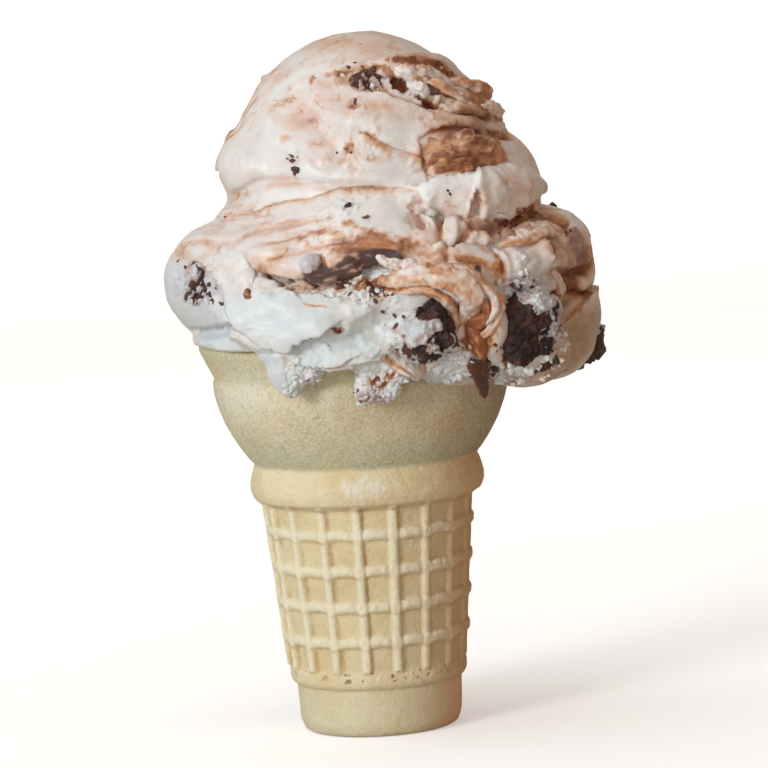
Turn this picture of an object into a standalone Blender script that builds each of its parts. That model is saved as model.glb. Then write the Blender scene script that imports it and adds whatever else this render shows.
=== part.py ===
"""Ice cream cone: a flat-bottomed wafer cup with two marbled scoops and chunks of brownie.

Metres, +Z up. The origin is the centre of the cup's flat base. The front is -Y.
The two scoops are soft masses melted together from named lobes and folds, and the upper
one sits in a hollow of the lower one. Every piece keeps a gap of GAP to its neighbours.
"""

import math

import bmesh
import bpy
from mathutils import Euler, Matrix, Vector, noise

MM = 0.001

# Wafer cup
CUP_HEIGHT = 79 * MM
RIM_RADIUS = 32.2 * MM
LEDGE_HEIGHT = 71.4 * MM
LEDGE_RADIUS = 29.6 * MM
LEDGE_STEP = 0.5 * MM
NECK_HEIGHT = 54.2 * MM
NECK_RADIUS = 22.2 * MM
BOWL_SWELL = 0.86
COLLAR_HEIGHT = 50.0 * MM
COLLAR_RADIUS = 23.4 * MM
STEM_TOP = 46.4 * MM
STEM_TOP_RADIUS = 20.4 * MM
BAND_TOP = 10.0 * MM
STEM_FOOT_RADIUS = 16.9 * MM
BAND_RADIUS = 16.5 * MM
BASE_RADIUS = 14.8 * MM
WALL = 2.0 * MM
FLOOR = 2.4 * MM
RING_HEIGHTS = [(19.6 + 7.2 * step) * MM for step in range(4)]
RING_RELIEF = 0.85 * MM
RING_HALF_WIDTH = 1.2 * MM
FOOT_RING_TOP = 13.6 * MM
RIB_COUNT = 18
RIB_TURN = 13.0
RIB_WIDTH = 2.1 * MM
RIB_RELIEF = 0.85 * MM
CUP_STEPS = 36

# Ice cream: centre and radii of each lobe, in millimetres
UPPER_LOBES = {
    "dome": ((3.0, 0, 108.5), (27.4, 28.8, 30.7)),
    "left_cheek": ((-17.0, -5, 114), (9.0, 15, 7.0)),
    "left_shoulder": ((-20.0, -5, 102.4), (7.6, 14, 4.6)),
    "crown_right": ((17, -2, 119.5), (12.8, 19, 11.5)),
    "right_shoulder": ((22, 0, 106), (16.8, 22, 14.8)),
    "front_mound": ((1, -18, 101.5), (16, 15, 8.0)),
    "front_curl": ((26, -15, 106.5), (12.0, 11, 5.6)),
    "skirt": ((3.5, -1, 98.5), (34.5, 33.5, 8.2)),
    "back_fold": ((-6, 20, 107), (17, 12, 8.0)),
}
LOWER_LOBES = {
    "body": ((5.6, 0, 89), (42.4, 37.5, 18.0)),
    "left_lobe": ((-20.3, -7, 92.0), (17.4, 20, 13.2)),
    "front_slab": ((-6, -25, 86.5), (20, 12.5, 7.6)),
    "front_right": ((19, -24, 80.8), (15.6, 11.8, 10.8)),
    "right_fold": ((36, -2, 94.2), (11.3, 22, 8.8)),
    "rear_right": ((34.8, 8, 80.6), (14.4, 19, 11.8)),
    "rear_low": ((37.5, 2, 74.6), (9.5, 13, 7.6)),
    "back_right": ((14, 27, 81), (20, 13, 10.5)),
    "back_left": ((-16, 22, 84), (17, 14, 11.5)),
}
DRIPS = {
    "tongue": ((-13.2, -31.2, 76.4), (5.2, 5.0, 6.6)),
    "hanging_crumb": ((2.6, -33.4, 73.4), (5.8, 4.6, 6.2)),
    "right_drip": ((32, -21, 75.2), (9.0, 9, 6.6)),
    "back_drip": ((6, 33, 73.5), (6.5, 5, 7.2)),
    "back_tongue": ((-19, 26.5, 75.5), (5.4, 5.2, 6.6)),
}
# Torn hollows: centre and radii, in millimetres
HOLLOWS = {
    "crown_tear": ((14.5, -23.5, 127.5), (6.2, 7.5, 3.6)),
    "fudge_hollow": ((24.6, -26.6, 114.2), (8.6, 6.6, 5.4)),
}
# Folds: where each rolled edge runs (x, y, z), and how thick it is, in millimetres
UPPER_FOLDS = {
    "curl_edge": (((10, -26, 107.5), (20, -26.5, 107), (29, -23.5, 107.5), (37, -11, 106.5)), 3.7),
    "skirt_left": (((-26, -6, 100), (-22, -21, 98.5), (-13, -30, 95.5), (-3, -33, 95.5)), 2.8),
    "skirt_right": (((-4, -33, 97), (9, -32.5, 98), (22, -29.5, 99), (33, -19, 101)), 2.8),
    "crown_roll": (((5, -18, 131.5), (12.5, -16, 131.5), (18, -9, 131), (20.5, 2, 129)), 3.0),
    "skirt_back": (((-20, 24, 100), (-4, 32, 98), (14, 31, 100), (30, 22, 102)), 3.4),
}
LOWER_FOLDS = {
    "curl_roll": (((8, -35.5, 91.4), (16, -36.6, 91), (23, -36.0, 88), (26.4, -34.4, 83), (26, -33.4, 79)), 2.6),
    "right_layer": (((15, -33, 95.5), (26, -31, 93), (35, -25, 93), (41, -15, 95)), 3.0),
    "slab_edge": (((-24, -25, 85), (-17, -33, 82), (-8, -36.5, 83.5), (2, -37.5, 87)), 2.8),
    "under_layer": (((-17, -31, 79), (-6, -36, 78), (4, -37, 79.5), (12, -36.5, 83)), 2.6),
    "back_roll": (((-24, 24, 92), (-8, 36, 88), (12, 38, 90), (30, 29, 93)), 3.6),
}

# Brownie chunks: centre, half sizes and turn in degrees
BROWNIES = {
    "brownie_front_right": ((33.2, -29.4, 80.0), (7.0, 5.6, 8.4), (10, 0, 12)),
    "brownie_front_middle": ((15.4, -36.0, 80.4), (5.8, 4.8, 7.4), (-8, -14, -24)),
    "brownie_left": ((-29.2, -19.0, 91.2), (4.6, 4.4, 3.6), (0, 24, 30)),
    "brownie_top": ((4.6, -18.4, 129.8), (3.8, 3.2, 3.0), (40, 10, 20)),
    "brownie_upper_right": ((22.8, -21.6, 112.9), (7.4, 4.4, 5.4), (0, 8, 34)),
    "brownie_rear_right": ((44.4, 16.5, 72.6), (4.8, 6.0, 5.0), (0, 12, 25)),
    "brownie_back": ((-3.0, 37.6, 84.6), (6.8, 4.8, 5.6), (0, 18, 8)),
    "brownie_back_left": ((-28.6, 20.4, 87.6), (5.2, 4.6, 6.6), (12, 0, -40)),
    "brownie_back_top": ((10.5, 24.6, 116.4), (4.6, 3.8, 4.4), (-20, 12, 10)),
}
BROWNIE_ROUGHNESS = 0.16
BROWNIE_SQUARENESS = 3.2

GAP = 0.3 * MM
VOXEL = 1.3 * MM
UPPER_TRIANGLES = 1020
LOWER_TRIANGLES = 1220
HOLLOW_SEGMENTS = 16

COLOURS = {
    "wafer": ((0.66, 0.56, 0.33, 1), 0.75),
    "ice_cream": ((0.80, 0.70, 0.60, 1), 0.45),
    "brownie": ((0.055, 0.028, 0.020, 1), 0.8),
}


def clear_scene():
    for obj in list(bpy.data.objects):
        bpy.data.objects.remove(obj)


def new_collection(name):
    collection = bpy.data.collections.new(name)
    bpy.context.scene.collection.children.link(collection)
    return collection


def material(name):
    colour, roughness = COLOURS[name]
    made = bpy.data.materials.new(name)
    made.use_nodes = True
    shader = made.node_tree.nodes["Principled BSDF"]
    shader.inputs["Base Color"].default_value = colour
    shader.inputs["Roughness"].default_value = roughness
    shader.inputs["Metallic"].default_value = 0.0
    return made


def object_from(bm, name, collection):
    mesh = bpy.data.meshes.new(name)
    bm.to_mesh(mesh)
    bm.free()
    obj = bpy.data.objects.new(name, mesh)
    collection.objects.link(obj)
    return obj


def applied(obj):
    """Replaces the object's mesh with what its modifiers make of it."""
    graph = bpy.context.evaluated_depsgraph_get()
    mesh = bpy.data.meshes.new_from_object(obj.evaluated_get(graph))
    obj.modifiers.clear()
    obj.data = mesh
    return obj


def turned(name, profile, steps, collection):
    """A profile of (radius, height) points spun round Z, its ends on the axis."""
    bm = bmesh.new()
    verts = [bm.verts.new((radius, 0, height)) for radius, height in profile]
    for start, end in zip(verts, verts[1:]):
        bm.edges.new((start, end))
    obj = object_from(bm, name, collection)
    screw = obj.modifiers.new("spin", "SCREW")
    screw.steps = steps
    screw.render_steps = steps
    screw.use_merge_vertices = True
    screw.merge_threshold = 0.00005
    return applied(obj)


def boolean(obj, other, operation):
    modifier = obj.modifiers.new(operation.lower(), "BOOLEAN")
    modifier.operation = operation
    modifier.object = other
    return applied(obj)


def hide(obj):
    obj.hide_render = True
    obj.display_type = "WIRE"



def stem_radius(height):
    share = (height - BAND_TOP) / (STEM_TOP - BAND_TOP)
    return STEM_FOOT_RADIUS + share * (STEM_TOP_RADIUS - STEM_FOOT_RADIUS)


def bowl_radius(height):
    """Near a quarter of an ellipse from the neck up to the ledge."""
    share = (height - NECK_HEIGHT) / (LEDGE_HEIGHT - NECK_HEIGHT)
    swell = math.sin(math.pi / 2 * share) ** BOWL_SWELL
    return NECK_RADIUS + (LEDGE_RADIUS - NECK_RADIUS) * swell


def outer_profile():
    """(radius, height) from the rim's lip down to the base's edge."""
    points = [
        (RIM_RADIUS - 1.4 * MM, CUP_HEIGHT),
        (RIM_RADIUS - 0.3 * MM, CUP_HEIGHT - 0.3 * MM),
        (RIM_RADIUS, CUP_HEIGHT - 1.1 * MM),
        (LEDGE_RADIUS - LEDGE_STEP, LEDGE_HEIGHT + 0.5 * MM),
        (LEDGE_RADIUS, LEDGE_HEIGHT),
    ]
    for step in range(4, 0, -1):
        height = NECK_HEIGHT + (LEDGE_HEIGHT - NECK_HEIGHT) * step / 5
        points.append((bowl_radius(height), height))
    points += [
        (NECK_RADIUS, NECK_HEIGHT),
        (COLLAR_RADIUS - 0.5 * MM, COLLAR_HEIGHT + 2.0 * MM),
        (COLLAR_RADIUS, COLLAR_HEIGHT),
        (COLLAR_RADIUS - 0.5 * MM, COLLAR_HEIGHT - 2.2 * MM),
        (STEM_TOP_RADIUS + 0.5 * MM, STEM_TOP),
    ]
    for height in reversed(RING_HEIGHTS):
        crest = stem_radius(height) + RING_RELIEF
        points += [
            (stem_radius(height + RING_HALF_WIDTH), height + RING_HALF_WIDTH),
            (crest, height + RING_HALF_WIDTH * 0.4),
            (crest, height - RING_HALF_WIDTH * 0.4),
            (stem_radius(height - RING_HALF_WIDTH), height - RING_HALF_WIDTH),
        ]
    points += [
        (stem_radius(FOOT_RING_TOP), FOOT_RING_TOP),
        (STEM_FOOT_RADIUS + RING_RELIEF, FOOT_RING_TOP - 0.9 * MM),
        (STEM_FOOT_RADIUS + RING_RELIEF * 0.8, BAND_TOP + 0.4 * MM),
        (BAND_RADIUS + 0.1 * MM, BAND_TOP),
        (BAND_RADIUS - 0.3 * MM, 2.4 * MM),
        (BASE_RADIUS + 0.6 * MM, 0.5 * MM),
        (BASE_RADIUS, 0),
    ]
    return points


def inner_profile(gap=0.0):
    """(radius, height) of the hollow, from its floor up to the lip. A gap makes it narrower."""
    return [
        (STEM_FOOT_RADIUS - WALL - gap, FLOOR + gap),
        (STEM_TOP_RADIUS - WALL - gap, STEM_TOP),
        (NECK_RADIUS - WALL - gap, NECK_HEIGHT + 0.6 * MM),
        (bowl_radius(NECK_HEIGHT + 9 * MM) - WALL - gap, NECK_HEIGHT + 9 * MM),
        (RIM_RADIUS - WALL - gap, CUP_HEIGHT - 0.8 * MM),
    ]


def add_ribs(cup, cutters):
    """Upright bars on the stem, one every 360 / RIB_COUNT degrees, joined to the cup."""
    bm = bmesh.new()
    foot, top = FOOT_RING_TOP - 0.6 * MM, STEM_TOP + 0.6 * MM
    for index in range(RIB_COUNT):
        made = bmesh.ops.create_cube(bm, size=1)
        turn = math.radians(RIB_TURN - 90 + index * 360 / RIB_COUNT)
        for vert in made["verts"]:
            height = top if vert.co.z > 0 else foot
            outside = vert.co.x > 0
            reach = stem_radius(height) + (RIB_RELIEF if outside else -0.8 * MM)
            half = RIB_WIDTH / 2 * (0.72 if outside else 1.25)
            across = half if vert.co.y > 0 else -half
            vert.co = Matrix.Rotation(turn, 3, "Z") @ Vector((reach, across, height))
    ribs = object_from(bm, "ribs", cutters)
    hide(ribs)
    boolean(cup, ribs, "UNION")


def make_cup(parts, cutters):
    profile = [(0, FLOOR)] + inner_profile() + outer_profile() + [(0, 0)]
    cup = turned("wafer_cup", profile, CUP_STEPS, parts)
    cup.data.transform(Matrix.Rotation(math.radians(RIB_TURN - 5), 4, "Z"))
    add_ribs(cup, cutters)
    return cup


def make_wall_cutter(cutters):
    """The cup's wall, GAP larger all round, which the ice cream is cut by."""
    outer = [(radius + GAP, height) for radius, height in outer_profile()]
    outer[0] = (RIM_RADIUS - 1.4 * MM, CUP_HEIGHT + GAP)
    outer[1] = (RIM_RADIUS, CUP_HEIGHT)
    below = [(COLLAR_RADIUS + 4 * MM, -4 * MM), (0, -4 * MM)]
    above_stem = [point for point in outer if point[1] > COLLAR_HEIGHT]
    profile = [(0, FLOOR + GAP)] + inner_profile(GAP) + above_stem + below
    cutter = turned("wall_cutter", profile, CUP_STEPS, cutters)
    cutter.data.transform(Matrix.Rotation(math.radians(RIB_TURN - 5), 4, "Z"))
    hide(cutter)
    return cutter



def lobe(name, centre, radii, collection, segments=32):
    bm = bmesh.new()
    bmesh.ops.create_uvsphere(bm, u_segments=segments, v_segments=segments // 2, radius=1)
    bm.transform(Matrix.Translation(Vector(centre) * MM) @ Matrix.Diagonal((*radii, 1 / MM)) * MM)
    return object_from(bm, name, collection)


def fold(name, route, thickness, collection):
    """A rolled edge: a thick tube along a smooth route, thinner at both ends."""
    curve = bpy.data.curves.new(name, "CURVE")
    curve.dimensions = "3D"
    curve.bevel_depth = thickness * MM
    curve.bevel_resolution = 3
    curve.resolution_u = 8
    curve.use_fill_caps = True
    spline = curve.splines.new("BEZIER")
    spline.bezier_points.add(len(route) - 1)
    for index, (point, place) in enumerate(zip(spline.bezier_points, route)):
        point.co = Vector(place) * MM
        point.handle_left_type = "AUTO"
        point.handle_right_type = "AUTO"
        point.radius = 0.6 if index in (0, len(route) - 1) else 1.0
    tube = bpy.data.objects.new(name + "_curve", curve)
    collection.objects.link(tube)
    graph = bpy.context.evaluated_depsgraph_get()
    mesh = bpy.data.meshes.new_from_object(tube.evaluated_get(graph))
    bm = bmesh.new()
    bm.from_mesh(mesh)
    bmesh.ops.remove_doubles(bm, verts=bm.verts, dist=0.00001)
    bpy.data.objects.remove(tube)
    return object_from(bm, name, collection)


def join(name, objects, collection):
    bm = bmesh.new()
    for obj in objects:
        bm.from_mesh(obj.data)
        bpy.data.objects.remove(obj)
    return object_from(bm, name, collection)


def melt(name, objects, triangles, collection):
    """The objects joined into one soft closed mass of about that many triangles."""
    mass = join(name, objects, collection)
    remesh = mass.modifiers.new("melt", "REMESH")
    remesh.mode = "VOXEL"
    remesh.voxel_size = VOXEL
    smooth = mass.modifiers.new("soften", "SMOOTH")
    smooth.factor = 0.5
    smooth.iterations = 5
    applied(mass)
    mass.data.calc_loop_triangles()
    thin = mass.modifiers.new("thin", "DECIMATE")
    thin.ratio = triangles / len(mass.data.loop_triangles)
    return applied(mass)


def grown(obj, amount, name, collection):
    """A hidden copy whose surface lies the amount further out, used as a cutter."""
    copy = bpy.data.objects.new(name, obj.data.copy())
    collection.objects.link(copy)
    displace = copy.modifiers.new("grow", "DISPLACE")
    displace.strength = amount
    displace.mid_level = 0
    applied(copy)
    hide(copy)
    return copy


def make_scoops(parts, cutters):
    upper_forms = [lobe(n, c, r, cutters) for n, (c, r) in UPPER_LOBES.items()]
    upper_forms += [fold(n, route, t, cutters) for n, (route, t) in UPPER_FOLDS.items()]
    upper = melt("scoop_upper", upper_forms, UPPER_TRIANGLES, parts)
    for name, (centre, radii) in HOLLOWS.items():
        hollow = lobe(name, centre, radii, cutters, HOLLOW_SEGMENTS)
        hide(hollow)
        boolean(upper, hollow, "DIFFERENCE")
    lower_lobes = {**LOWER_LOBES, **DRIPS}
    lower_forms = [lobe(n, c, r, cutters) for n, (c, r) in lower_lobes.items()]
    lower_forms += [fold(n, route, t, cutters) for n, (route, t) in LOWER_FOLDS.items()]
    lower = melt("scoop_lower", lower_forms, LOWER_TRIANGLES, parts)

    middle = WALL / 2
    plug_profile = [(0, CUP_HEIGHT + 4 * MM), (NECK_RADIUS, CUP_HEIGHT + 4 * MM)]
    plug_profile += [(radius + middle, height) for radius, height in reversed(inner_profile())]
    plug_profile += [(0, FLOOR - middle)]
    plug = turned("plug", plug_profile, CUP_STEPS, cutters)
    hide(plug)
    boolean(lower, plug, "UNION")
    boolean(lower, make_wall_cutter(cutters), "DIFFERENCE")
    boolean(lower, grown(upper, 2 * GAP, "upper_room", cutters), "DIFFERENCE")
    return upper, lower



def brownie_mesh(name, half_sizes, seed, growth=0.0):
    """A rough block: a ball pushed towards a box, with seeded bumps, growth larger all round."""
    bm = bmesh.new()
    bmesh.ops.create_icosphere(bm, subdivisions=2, radius=1)
    for vert in bm.verts:
        way = vert.co.normalized()
        square = sum(abs(part) ** BROWNIE_SQUARENESS for part in way) ** (-1 / BROWNIE_SQUARENESS)
        bump = 1 + BROWNIE_ROUGHNESS * noise.noise(way * 1.7 + Vector((seed * 7.3, 0, 0)))
        reach = square * bump
        vert.co = Vector([w * reach * h * MM for w, h in zip(way, half_sizes)])
        vert.co *= 1 + growth / (min(half_sizes) * MM * 0.8)
    mesh = bpy.data.meshes.new(name)
    bm.to_mesh(mesh)
    bm.free()
    return mesh


def make_brownies(parts, cutters, scoops):
    for seed, (name, (centre, half_sizes, turn)) in enumerate(BROWNIES.items()):
        place = Matrix.Translation(Vector(centre) * MM)
        spin = Euler([math.radians(angle) for angle in turn]).to_matrix().to_4x4()
        chunk = bpy.data.objects.new(name, brownie_mesh(name, half_sizes, seed))
        chunk.matrix_world = place @ spin
        parts.objects.link(chunk)
        pocket = bpy.data.objects.new(name + "_pocket", brownie_mesh(name, half_sizes, seed, GAP))
        pocket.matrix_world = place @ spin
        cutters.objects.link(pocket)
        hide(pocket)
        bpy.context.view_layer.update()
        for scoop in scoops:
            boolean(scoop, pocket, "DIFFERENCE")


def keep_main_body(obj):
    """Deletes the crumbs that cutting left beside the main body."""
    bm = bmesh.new()
    bm.from_mesh(obj.data)
    unseen = set(bm.verts)
    bodies = []
    while unseen:
        body = {unseen.pop()}
        edge_of_body = set(body)
        while edge_of_body:
            near = {edge.other_vert(vert) for vert in edge_of_body for edge in vert.link_edges}
            edge_of_body = near - body
            body |= edge_of_body
        unseen -= body
        bodies.append(body)
    bodies.sort(key=len)
    bmesh.ops.delete(bm, geom=[vert for body in bodies[:-1] for vert in body], context="VERTS")
    bm.to_mesh(obj.data)
    bm.free()


def finish(parts):
    finishes = {name: material(name) for name in COLOURS}
    for obj in parts.objects:
        kind = "wafer" if "cup" in obj.name else obj.name.split("_")[0]
        obj.data.materials.clear()
        obj.data.materials.append(finishes.get(kind, finishes["ice_cream"]))
        obj.data.shade_smooth()
        obj.data.set_sharp_from_angle(angle=math.radians(40))


def main():
    clear_scene()
    parts = new_collection("ice_cream_cone")
    cutters = new_collection("cutters")
    make_cup(parts, cutters)
    scoops = make_scoops(parts, cutters)
    make_brownies(parts, cutters, scoops)
    for scoop in scoops:
        keep_main_body(scoop)
    finish(parts)


main()
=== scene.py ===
import math

import bpy
import numpy as np
from mathutils import Euler, Matrix, Vector


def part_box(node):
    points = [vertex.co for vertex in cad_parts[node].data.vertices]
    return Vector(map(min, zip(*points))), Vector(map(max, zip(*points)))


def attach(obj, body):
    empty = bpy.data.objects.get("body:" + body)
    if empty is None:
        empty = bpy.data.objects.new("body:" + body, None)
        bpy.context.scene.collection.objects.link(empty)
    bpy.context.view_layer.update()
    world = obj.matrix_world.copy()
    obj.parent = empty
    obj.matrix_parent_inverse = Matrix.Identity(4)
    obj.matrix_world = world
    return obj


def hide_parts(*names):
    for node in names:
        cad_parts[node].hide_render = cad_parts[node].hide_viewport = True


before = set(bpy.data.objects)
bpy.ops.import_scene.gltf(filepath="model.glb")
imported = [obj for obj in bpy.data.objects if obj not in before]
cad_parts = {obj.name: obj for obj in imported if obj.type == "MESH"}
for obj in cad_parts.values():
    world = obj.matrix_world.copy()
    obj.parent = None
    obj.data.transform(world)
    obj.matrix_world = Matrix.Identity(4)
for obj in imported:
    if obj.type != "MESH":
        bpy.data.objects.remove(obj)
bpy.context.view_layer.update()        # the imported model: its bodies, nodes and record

# Ice cream cone: a ribbed wafer cup, two scoops of marbled ice cream, brownie chunks and caramel.
# Shapes are worked out in millimetres, +Z up, with the front at -Y, and stored in metres.
# A place on a surface is (turn, height): degrees round the axis from the front, towards +X, and mm.
mm = 0.001


# Numbers from -1 to 1 that vary smoothly: random slopes on a cubic lattice of the given cell size,
# each times the offset from its corner, blended between the eight corners round every point.
def waves(points, size, seed=0):
    cell = points / size
    low = np.floor(cell).astype(np.int64)
    part = cell - low
    blend = part ** 3 * (part * (part * 6 - 15) + 10)
    total = np.zeros(len(points))
    for corner in range(8):
        step = np.array([corner & 1, corner >> 1 & 1, corner >> 2 & 1])
        at = low + step
        key = at[:, 0] * 73856093 ^ at[:, 1] * 19349663 ^ at[:, 2] * 83492791 ^ (seed + 7) * 2654435
        key = (key ^ key >> 15) * 2246822519 & 0xFFFFFFFF
        key = (key ^ key >> 13) * 3266489917 & 0xFFFFFFFF
        slopes = np.stack([key & 1023, key >> 10 & 1023, key >> 20 & 1023], 1) / 511.5 - 1
        weight = np.prod(np.where(step, blend, 1 - blend), axis=1)
        total += weight * np.sum(slopes * (part - step), axis=1)
    return total * 1.5


# Waves of several sizes on top of each other, each half as large and half as strong as the last.
def rough(points, size, octaves=3, seed=0):
    total = 0
    for octave in range(octaves):
        total = total + waves(points, size / 2 ** octave, seed + octave) / 2 ** octave
    return total


# Smooth step from 0 at low to 1 at high.
def ease(value, low, high):
    part = np.clip((value - low) / (high - low), 0, 1)
    return part * part * (3 - 2 * part)


# A bump of height 1 at zero: exp(-(value / half)^2).
def bell(value, half):
    return np.exp(-(value / half) ** 2)


# Each row of an array made one long.
def unit(rows):
    return rows / (np.linalg.norm(rows, axis=-1, keepdims=True) + 1e-9)


# A smooth route through the places: each span is the cubic whose slopes come from its neighbours.
def smoothRoute(places, steps):
    places = np.array(places, float)
    ends = np.vstack([2 * places[0] - places[1], places, 2 * places[-1] - places[-2]])
    part = np.arange(steps)[:, None] / steps
    spans = []
    for index in range(len(places) - 1):
        before, start, end, after = ends[index:index + 4]
        spans.append(start + 0.5 * part * (end - before)
                     + part ** 2 * (before - 2.5 * start + 2 * end - 0.5 * after)
                     + part ** 3 * (1.5 * (start - end) + 0.5 * (after - before)))
    return np.vstack(spans + [places[-1:]])


# Distance to a lobe: with q the point over the radii, (|q| - 1) |q| / |q / radii|, true near its skin.
def lobeDistance(points, centre, radii):
    scaled = (points - centre) / radii
    length = np.linalg.norm(scaled, axis=1) + 1e-6
    return (length - 1) * length / (np.linalg.norm(scaled / radii, axis=1) + 1e-6)


# Distance to a fold: to the nearest point of its route, less its thickness, thinner at both ends.
def foldDistance(points, places, thickness):
    route = smoothRoute(places, 8)
    share = np.linspace(0, 1, len(route))
    thick = thickness * (0.6 + 0.4 * np.sin(math.pi * share) ** 0.5)
    away = np.full(len(points), 1e9)
    for place, width in zip(route, thick):
        away = np.minimum(away, np.linalg.norm(points - place, axis=1) - width)
    return away


# How far the melted mass reaches from its heart along each way: the last of many even steps that is
# inside, then halved. Inside is where -melt log(sum exp(-distance / melt)) is below zero.
def outerReach(ways, form):
    heart = np.array(form["heart"], float)

    def melted(points):
        total = 0
        for centre, radii in form["lobes"].values():
            total = total + np.exp(-lobeDistance(points, centre, radii) / form["melt"])
        for places, thickness in form["folds"].values():
            total = total + np.exp(-foldDistance(points, places, thickness) / form["melt"])
        return total > 1

    steps = np.arange(form["reachFrom"], form["reachTo"], 1.0)
    last = np.full(len(ways), steps[0])
    for step in steps:
        last[melted(heart + ways * step)] = step
    low, high = last, last + 1.0
    for halving in range(5):
        middle = (low + high) / 2
        inside = melted(heart + ways * middle[:, None])
        low, high = np.where(inside, middle, low), np.where(inside, high, middle)
    return (low + high) / 2


# Weights that read a coarse row of values at finer places with a cubic through four neighbours.
def cubicWeights(at, count, closed):
    low = np.floor(at).astype(int)
    part = at - low
    weights = np.zeros((len(at), count))
    cubics = (
        (-0.5, 1, -0.5, 0), (1.5, -2.5, 0, 1), (-1.5, 2, 0.5, 0), (0.5, -0.5, 0, 0),
    )
    for offset, (a, b, c, d) in enumerate(cubics):
        index = low + offset - 1
        index = index % count if closed else np.clip(index, 0, count - 1)
        np.add.at(weights, (np.arange(len(at)), index), ((a * part + b) * part + c) * part + d)
    return weights


# Unit directions: (sin turn cos lift, -cos turn cos lift, sin lift).
def directions(turns, lifts):
    return np.stack([np.sin(turns) * np.cos(lifts), -np.cos(turns) * np.cos(lifts), np.sin(lifts)], 1)


# Outward normals of a closed grid, from the differences between its neighbours.
def gridNormals(points):
    along = np.roll(points, -1, 1) - np.roll(points, 1, 1)
    up = np.gradient(points, axis=0)
    return unit(np.cross(along, up))


# A closed ball-like grid round the heart. Columns lie at turn = t - front sin t, closer at the front,
# and rows at even lifts. Each point is heart + way times reach, read from a coarser grid of reaches.
def starGrid(form):
    columns, rows = form["columns"], form["rows"]
    even = np.linspace(-math.pi, math.pi, columns, endpoint=False)
    turns = even - form["front"] * np.sin(even)
    lowLift, highLift = form["lifts"]
    lifts = np.radians(np.linspace(lowLift, highLift, rows))
    coarse = form["coarse"]
    coarseTurns = np.radians(np.arange(-180, 180, coarse))
    coarseLifts = np.radians(np.arange(lowLift - coarse, highLift + coarse + 0.1, coarse))
    turnGrid, liftGrid = np.meshgrid(coarseTurns, coarseLifts)
    ways = directions(turnGrid.ravel(), liftGrid.ravel())
    reaches = outerReach(ways, form).reshape(turnGrid.shape)
    span = math.radians(coarse)
    acrossWeights = cubicWeights((turns + math.pi) / span, len(coarseTurns), True)
    upWeights = cubicWeights((lifts - coarseLifts[0]) / span, len(coarseLifts), False)
    reach = upWeights @ reaches @ acrossWeights.T
    turnGrid, liftGrid = np.meshgrid(turns, lifts)
    ways = directions(turnGrid.ravel(), liftGrid.ravel()).reshape(rows, columns, 3)
    return np.array(form["heart"], float) + ways * reach[:, :, None]


# Quads between the rows of a grid whose columns close, and a fan of triangles at each end.
def gridFaces(rows, columns, fans=True):
    index = np.arange(rows * columns).reshape(rows, columns)
    after = np.roll(index, -1, 1)
    quads = np.stack([index[:-1], after[:-1], after[1:], index[1:]], 2).reshape(-1, 4)
    faces = quads.tolist()
    if fans:
        foot, top = rows * columns, rows * columns + 1
        faces += np.stack([after[0], index[0], np.full(columns, foot)], 1).tolist()
        faces += np.stack([index[-1], after[-1], np.full(columns, top)], 1).tolist()
    return faces


def makePiece(name, points, faces, material, nodes, attributes=None):
    mesh = bpy.data.meshes.new(name)
    mesh.from_pydata((np.asarray(points) * mm).tolist(), [], faces)
    for key, values in (attributes or {}).items():
        layer = mesh.attributes.new(key, "FLOAT", "POINT")
        layer.data.foreach_set("value", np.asarray(values, np.float32))
    mesh.materials.append(material)
    mesh.shade_smooth()
    piece = bpy.data.objects.new(name, mesh)
    bpy.context.scene.collection.objects.link(piece)
    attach(piece, "root")
    if nodes:
        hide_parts(*nodes)
    print(name, len(points), "points")
    return piece


# Materials. A value given to a socket is set on it, and another node's output is linked to it.
def addNode(tree, kind, inputs=None, **settings):
    node = tree.nodes.new(kind)
    for key, value in settings.items():
        setattr(node, key, value)
    for socket, value in (inputs or {}).items():
        if isinstance(value, bpy.types.NodeSocket):
            tree.links.new(value, node.inputs[socket])
        else:
            node.inputs[socket].default_value = value
    return node


def newMaterial(name, values):
    material = bpy.data.materials.new(name)
    material.use_nodes = True
    shader = material.node_tree.nodes["Principled BSDF"]
    for socket, value in values.items():
        shader.inputs[socket].default_value = value
    return material, material.node_tree, shader


def mixColour(tree, factor, first, second, blend="MIX"):
    node = addNode(tree, "ShaderNodeMix", data_type="RGBA", blend_type=blend)
    for socket, value in ((0, factor), (6, first), (7, second)):
        if isinstance(value, bpy.types.NodeSocket):
            tree.links.new(value, node.inputs[socket])
        elif socket:
            node.inputs[socket].default_value = (*value, 1)
        else:
            node.inputs[socket].default_value = value
    return node.outputs[2]


def calculate(tree, operation, first, second=0.0, third=0.0, clamp=False):
    node = addNode(tree, "ShaderNodeMath", operation=operation, use_clamp=clamp)
    for socket, value in enumerate((first, second, third)):
        if isinstance(value, bpy.types.NodeSocket):
            tree.links.new(value, node.inputs[socket])
        else:
            node.inputs[socket].default_value = value
    return node.outputs[0]


# A smooth step of a value from 0 at low to 1 at high.
def rise(tree, value, low, high):
    node = addNode(tree, "ShaderNodeMapRange", {"Value": value, "From Min": low, "From Max": high},
                   interpolation_type="SMOOTHSTEP")
    return node.outputs["Result"]


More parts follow.
